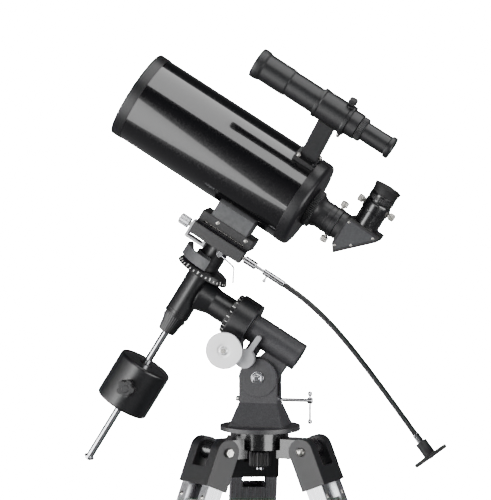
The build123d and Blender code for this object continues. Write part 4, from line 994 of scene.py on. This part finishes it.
# %% T-bolt
rod = turned("t_bolt_rod", [(2.0, 8), (2.4, 8.6), (2.4, 64)], sides=48)
hub = turned("t_bolt_hub", [(3.5, 63.5), (4.2, 64.2), (4.2, 69.9), (3.6, 70.5)], sides=64)
stem = settle(joined("t_bolt_rod", [rod, hub]), "latitude_t_bolt", chrome,
              facing(PIVOT + Vector((0, 0, -30)) * MM, Vector((1, 0, 0)), Vector((0, 0, 1))),
              edge=0.1)
bar = turned("t_bolt_bar", [(1.7, -27), (1.7, 8)], sides=32)
handle = joined("t_bolt_handle", [bar, ball("t_bolt_ball", 3.4, 9), ball("t_bolt_ball", 3.4, -28)])
settle(handle, "latitude_t_bolt", chrome,
       facing(PIVOT + Vector((67, 0, -30)) * MM, Vector((0, 0, 1)), Vector((1, 0, 0))), edge=0)

# %% Azimuth knob
BASE = Matrix.Translation(CENTRE)
knob = turned("azimuth_grip", [(12.4, 612.3), (13.9, 613.4), (14.3, 615), (14.3, 631.6),
                               (13.4, 633.4), (12, 634.3)], flutes=20, depth=0.9)
settle(knob, "azimuth_lock_knob", abs_black, BASE, edge=0.5)
bolt = turned("azimuth_bolt", [(4.2, 608.3), (5, 609), (5, 675.7)], sides=48)
washers = [turned("azimuth_washer", [(5.1, low), (out, low), (out, low + 1.5), (5.1, low + 1.5)],
                  sides=64, hollow=True) for out, low in ((8, 636.4), (7, 634.6))]
settle(joined("azimuth_bolt", [bolt] + washers), "azimuth_lock_knob", chrome, BASE, edge=0.15,
       slot="chrome")
print("base done")

# %% [markdown]
# ## Legs
# Each leg repeats the same small pieces, so every piece is made once in the leg's own frame, with
# Z down the leg and X towards the middle, and copied to the three legs.

# %% The legs' own frames and their screws


def leg_place(number):
    pivot = Vector(joints[f"leg_{number}_fold"]["pos_m"])
    radial = (pivot - CENTRE) * Vector((1, 1, 0))
    radial.normalize()
    splay = math.radians(22)
    down = radial * math.sin(splay) - Vector((0, 0, math.cos(splay)))
    inward = -radial * math.cos(splay) - Vector((0, 0, math.sin(splay)))
    return facing(pivot, down, inward)


LEGS = {number: leg_place(number) for number in (1, 2, 3)}


def on_each_leg(piece, node, material, local, **options):
    """Copies a piece to the three legs; the node's name ends in the leg's number."""
    for number, place in LEGS.items():
        settle(twin(piece, place @ local), node.format(number), material, **options)
    bpy.data.objects.remove(piece)


bolt_head = turned("leg_bolt_head", [(6, 32), (6, 33.4), (5, 35.2), (2.6, 36.2), (0.4, 36.4)],
                   sides=48)
shank = turned("leg_bolt_shank", [(3, -38), (3, 33)], sides=32)
nut = turned("leg_bolt_nut", [(5.6, -37), (6, -36.6), (6, -32.3), (5.7, -32)], sides=6)
across = Matrix.Rotation(math.radians(90), 4, "X")
on_each_leg(joined("leg_bolt", [bolt_head, shank, nut]), "leg_bolts", nickel, across, edge=0.15)
rivet = turned("rail_rivet", [(3.2, -0.1), (3.1, 0.6), (2.3, 1.3), (1.0, 1.6), (0.1, 1.65)], sides=32)
outer = Matrix.Translation((-12 * MM, 0, 0)) @ Matrix.Rotation(math.radians(-90), 4, "Y")
rivets = [twin(rivet, outer @ Matrix.Translation((down * MM, across_leg * MM, 0)))
          for down in (66, 92, 590) for across_leg in (-23.5, 23.5)]
bpy.data.objects.remove(rivet)
on_each_leg(joined("rail_rivets", rivets), "leg_rails_{}", nickel, Matrix(), edge=0, hides=False,
            slot="chrome")

# %% [markdown]
# The inner leg is a box section cut hollow by a smaller box. The rubber foot is sliced by the
# floor, because the leg meets it at 22 degrees.

# %% Inner legs, feet and clamp knobs
inner = boxed("inner_leg", (-9.5, -15.5, 70), (9.5, 15.5, 664))
core = boxed("inner_leg_core", (-7.9, -13.9, 60), (7.9, 13.9, 670))
hole = inner.modifiers.new("hollow", "BOOLEAN")
hole.object = core
bpy.context.view_layer.objects.active = inner
bpy.ops.object.modifier_apply(modifier=hole.name)
bpy.data.objects.remove(core)
foot = boxed("rubber_foot", (-11.5, -18, 654), (11.5, 18, 712))
edit(foot)
bpy.ops.mesh.select_all(action="SELECT")
splay = math.radians(22)
bpy.ops.mesh.bisect(plane_co=(0, 0, 690 * MM), plane_no=(-math.sin(splay), 0, -math.cos(splay)),
                    use_fill=True, clear_inner=True)
bpy.ops.object.mode_set(mode="OBJECT")
for number, place in LEGS.items():
    die_lines = drawn_metal(f"drawn_aluminium_{number}", "#C6C7CA", place.col[2].xyz, 0.3)
    nodes[f"leg_rails_{number}"].data.materials.clear()
    nodes[f"leg_rails_{number}"].data.materials.append(die_lines)
    settle(twin(inner, place), f"leg_extension_{number}", die_lines, edge=0.4,
           slot="leg_aluminium")
    settle(twin(foot, place), f"leg_extension_{number}", rubber, edge=1.2, slot="rubber")
bpy.data.objects.remove(inner)
bpy.data.objects.remove(foot)
clamp = lobed("clamp_knob", 11, 6, 9, 3, 0, 12)
stud = turned("clamp_stud", [(3, -12.4), (3, 1)], sides=24)
on_each_leg(joined("clamp_knob", [clamp, stud]), "leg_clamp_knob_{}", abs_black,
            Matrix.Translation((-22.8 * MM, 0, 629 * MM)) @ Matrix.Rotation(math.radians(-90), 4, "Y"),
            edge=1.0)
print("legs done")

# %% [markdown]
# ## Head details
# Small things on the castings: the black cover over the right-ascension worm wheel, the thin rings
# and the ribbed collar of the declination tube with its two grub screws, and the saddle's screws.

# %% Cover, rings, collar and screws
cover = turned("worm_wheel_cover", [(21.2, -65.9), (30, -65.9), (31.15, -67), (31.15, -93),
                                    (30, -94.1), (19.2, -94.1)], sides=128)
settle(cover, "polar_housing", satin_black, POLAR, edge=0.3, hides=False, slot="satin_black")
rings = [turned("dec_tube_ring", [(16.6, low), (17.15, low + 0.3), (17.15, low + 1.5),
                                  (16.6, low + 1.8)], sides=96) for low in (-41, -36)]
collar = turned("bar_collar", [(14.4, -42), (15.3, -42.9), (11.8, -67.2), (10.8, -68)], flutes=32,
                depth=0.45)
settle(joined("dec_tube_trim", rings + [collar]), "dec_housing", satin_paint, DEC, edge=0.15,
       hides=False, slot="gloss_black")
grub = slotted_screw("grub_screw", 2.6, 1.2, 0.8)
screws = [twin(grub, DEC @ Matrix.Translation((0, 0, -48 * MM)) @
               Matrix.Rotation(math.radians(90 * sign), 4, "Y") @
               Matrix.Translation((0, 0, 14.6 * MM))) for sign in (-1, 1)]
settle(joined("grub_screws", screws), "dec_housing", nickel, edge=0, hides=False, slot="chrome")
FRONT = facing(head(0, -20, 0), -side, dec)
screws = [twin(grub, FRONT @ Matrix.Translation((95.5 * MM, along * MM, 0))) for along in (14, -30)]
bpy.data.objects.remove(grub)
settle(joined("saddle_screws", screws), "saddle", nickel, edge=0, hides=False, slot="chrome")
strip = boxed("saddle_slot_strip", (86.6, -31, -6.2), (88.4, 31, -5.4))
settle(strip, "saddle", nickel, FRONT, edge=0, hides=False, slot="chrome")
print("details done")

# %% [markdown]
# The pressed bracket that steadies the worm is light grey. Its three plates are drawn as blocks
# that overlap at the bends, merged, and laid over the bracket of the frame with a paper-thin
# margin.

# %% Worm bracket
plates = [boxed("worm_bracket", (38.8, 15.4, 59.8), (42.2, 33.6, 84.2)),
          boxed("worm_bracket_foot", (12.8, 15.4, 59.8), (42.2, 33.6, 63.2)),
          boxed("worm_bracket_tab", (12.8, 15.4, 59.8), (16.2, 33.6, 67.9))]
for plate in plates[1:]:
    merge = plates[0].modifiers.new("merge", "BOOLEAN")
    merge.operation = "UNION"
    merge.object = plate
    bpy.context.view_layer.objects.active = plates[0]
    bpy.ops.object.modifier_apply(modifier=merge.name)
    bpy.data.objects.remove(plate)
settle(plates[0], "dec_worm_block", pressed_grey, DEC, edge=0.7, hides=False, slot="grey_casting")

# %% [markdown]
# ## Finishes of the carried-over parts
# The castings, braces and inner shafts of the frame already have their full shape, so they only
# get their real finish.

# %% Finish every part that stays
carried = {
    cast_enamel: ["tripod_hub"],
    wrinkle: ["azimuth_base", "polar_housing"],
    grey_lacquer: ["ra_lock_lever"],
    satin_black: ["saddle", "finder_stem"],
    satin_paint: ["tray_bracket", "dec_housing", "dec_worm_block"],
    slate: ["tube_foot", "dec_index_bracket"],
    chrome: ["dec_lock_lever"],
    nickel: ["polar_shaft", "dec_shaft", "ra_worm"],
    brass: ["ra_worm_wheel", "dec_worm_wheel"],
    abs_black: ["accessory_tray"] + [f"{kind}_{number}" for number in (1, 2, 3)
                                     for kind in ("leg_fittings", "brace_arm")],
}
for finish, names in carried.items():
    for name in names:
        nodes[name].data.materials.clear()
        nodes[name].data.materials.append(finish)
shown = [name for name, node in nodes.items() if not node.hide_render]
print(len(shown), "parts carried over:", ", ".join(sorted(shown)))
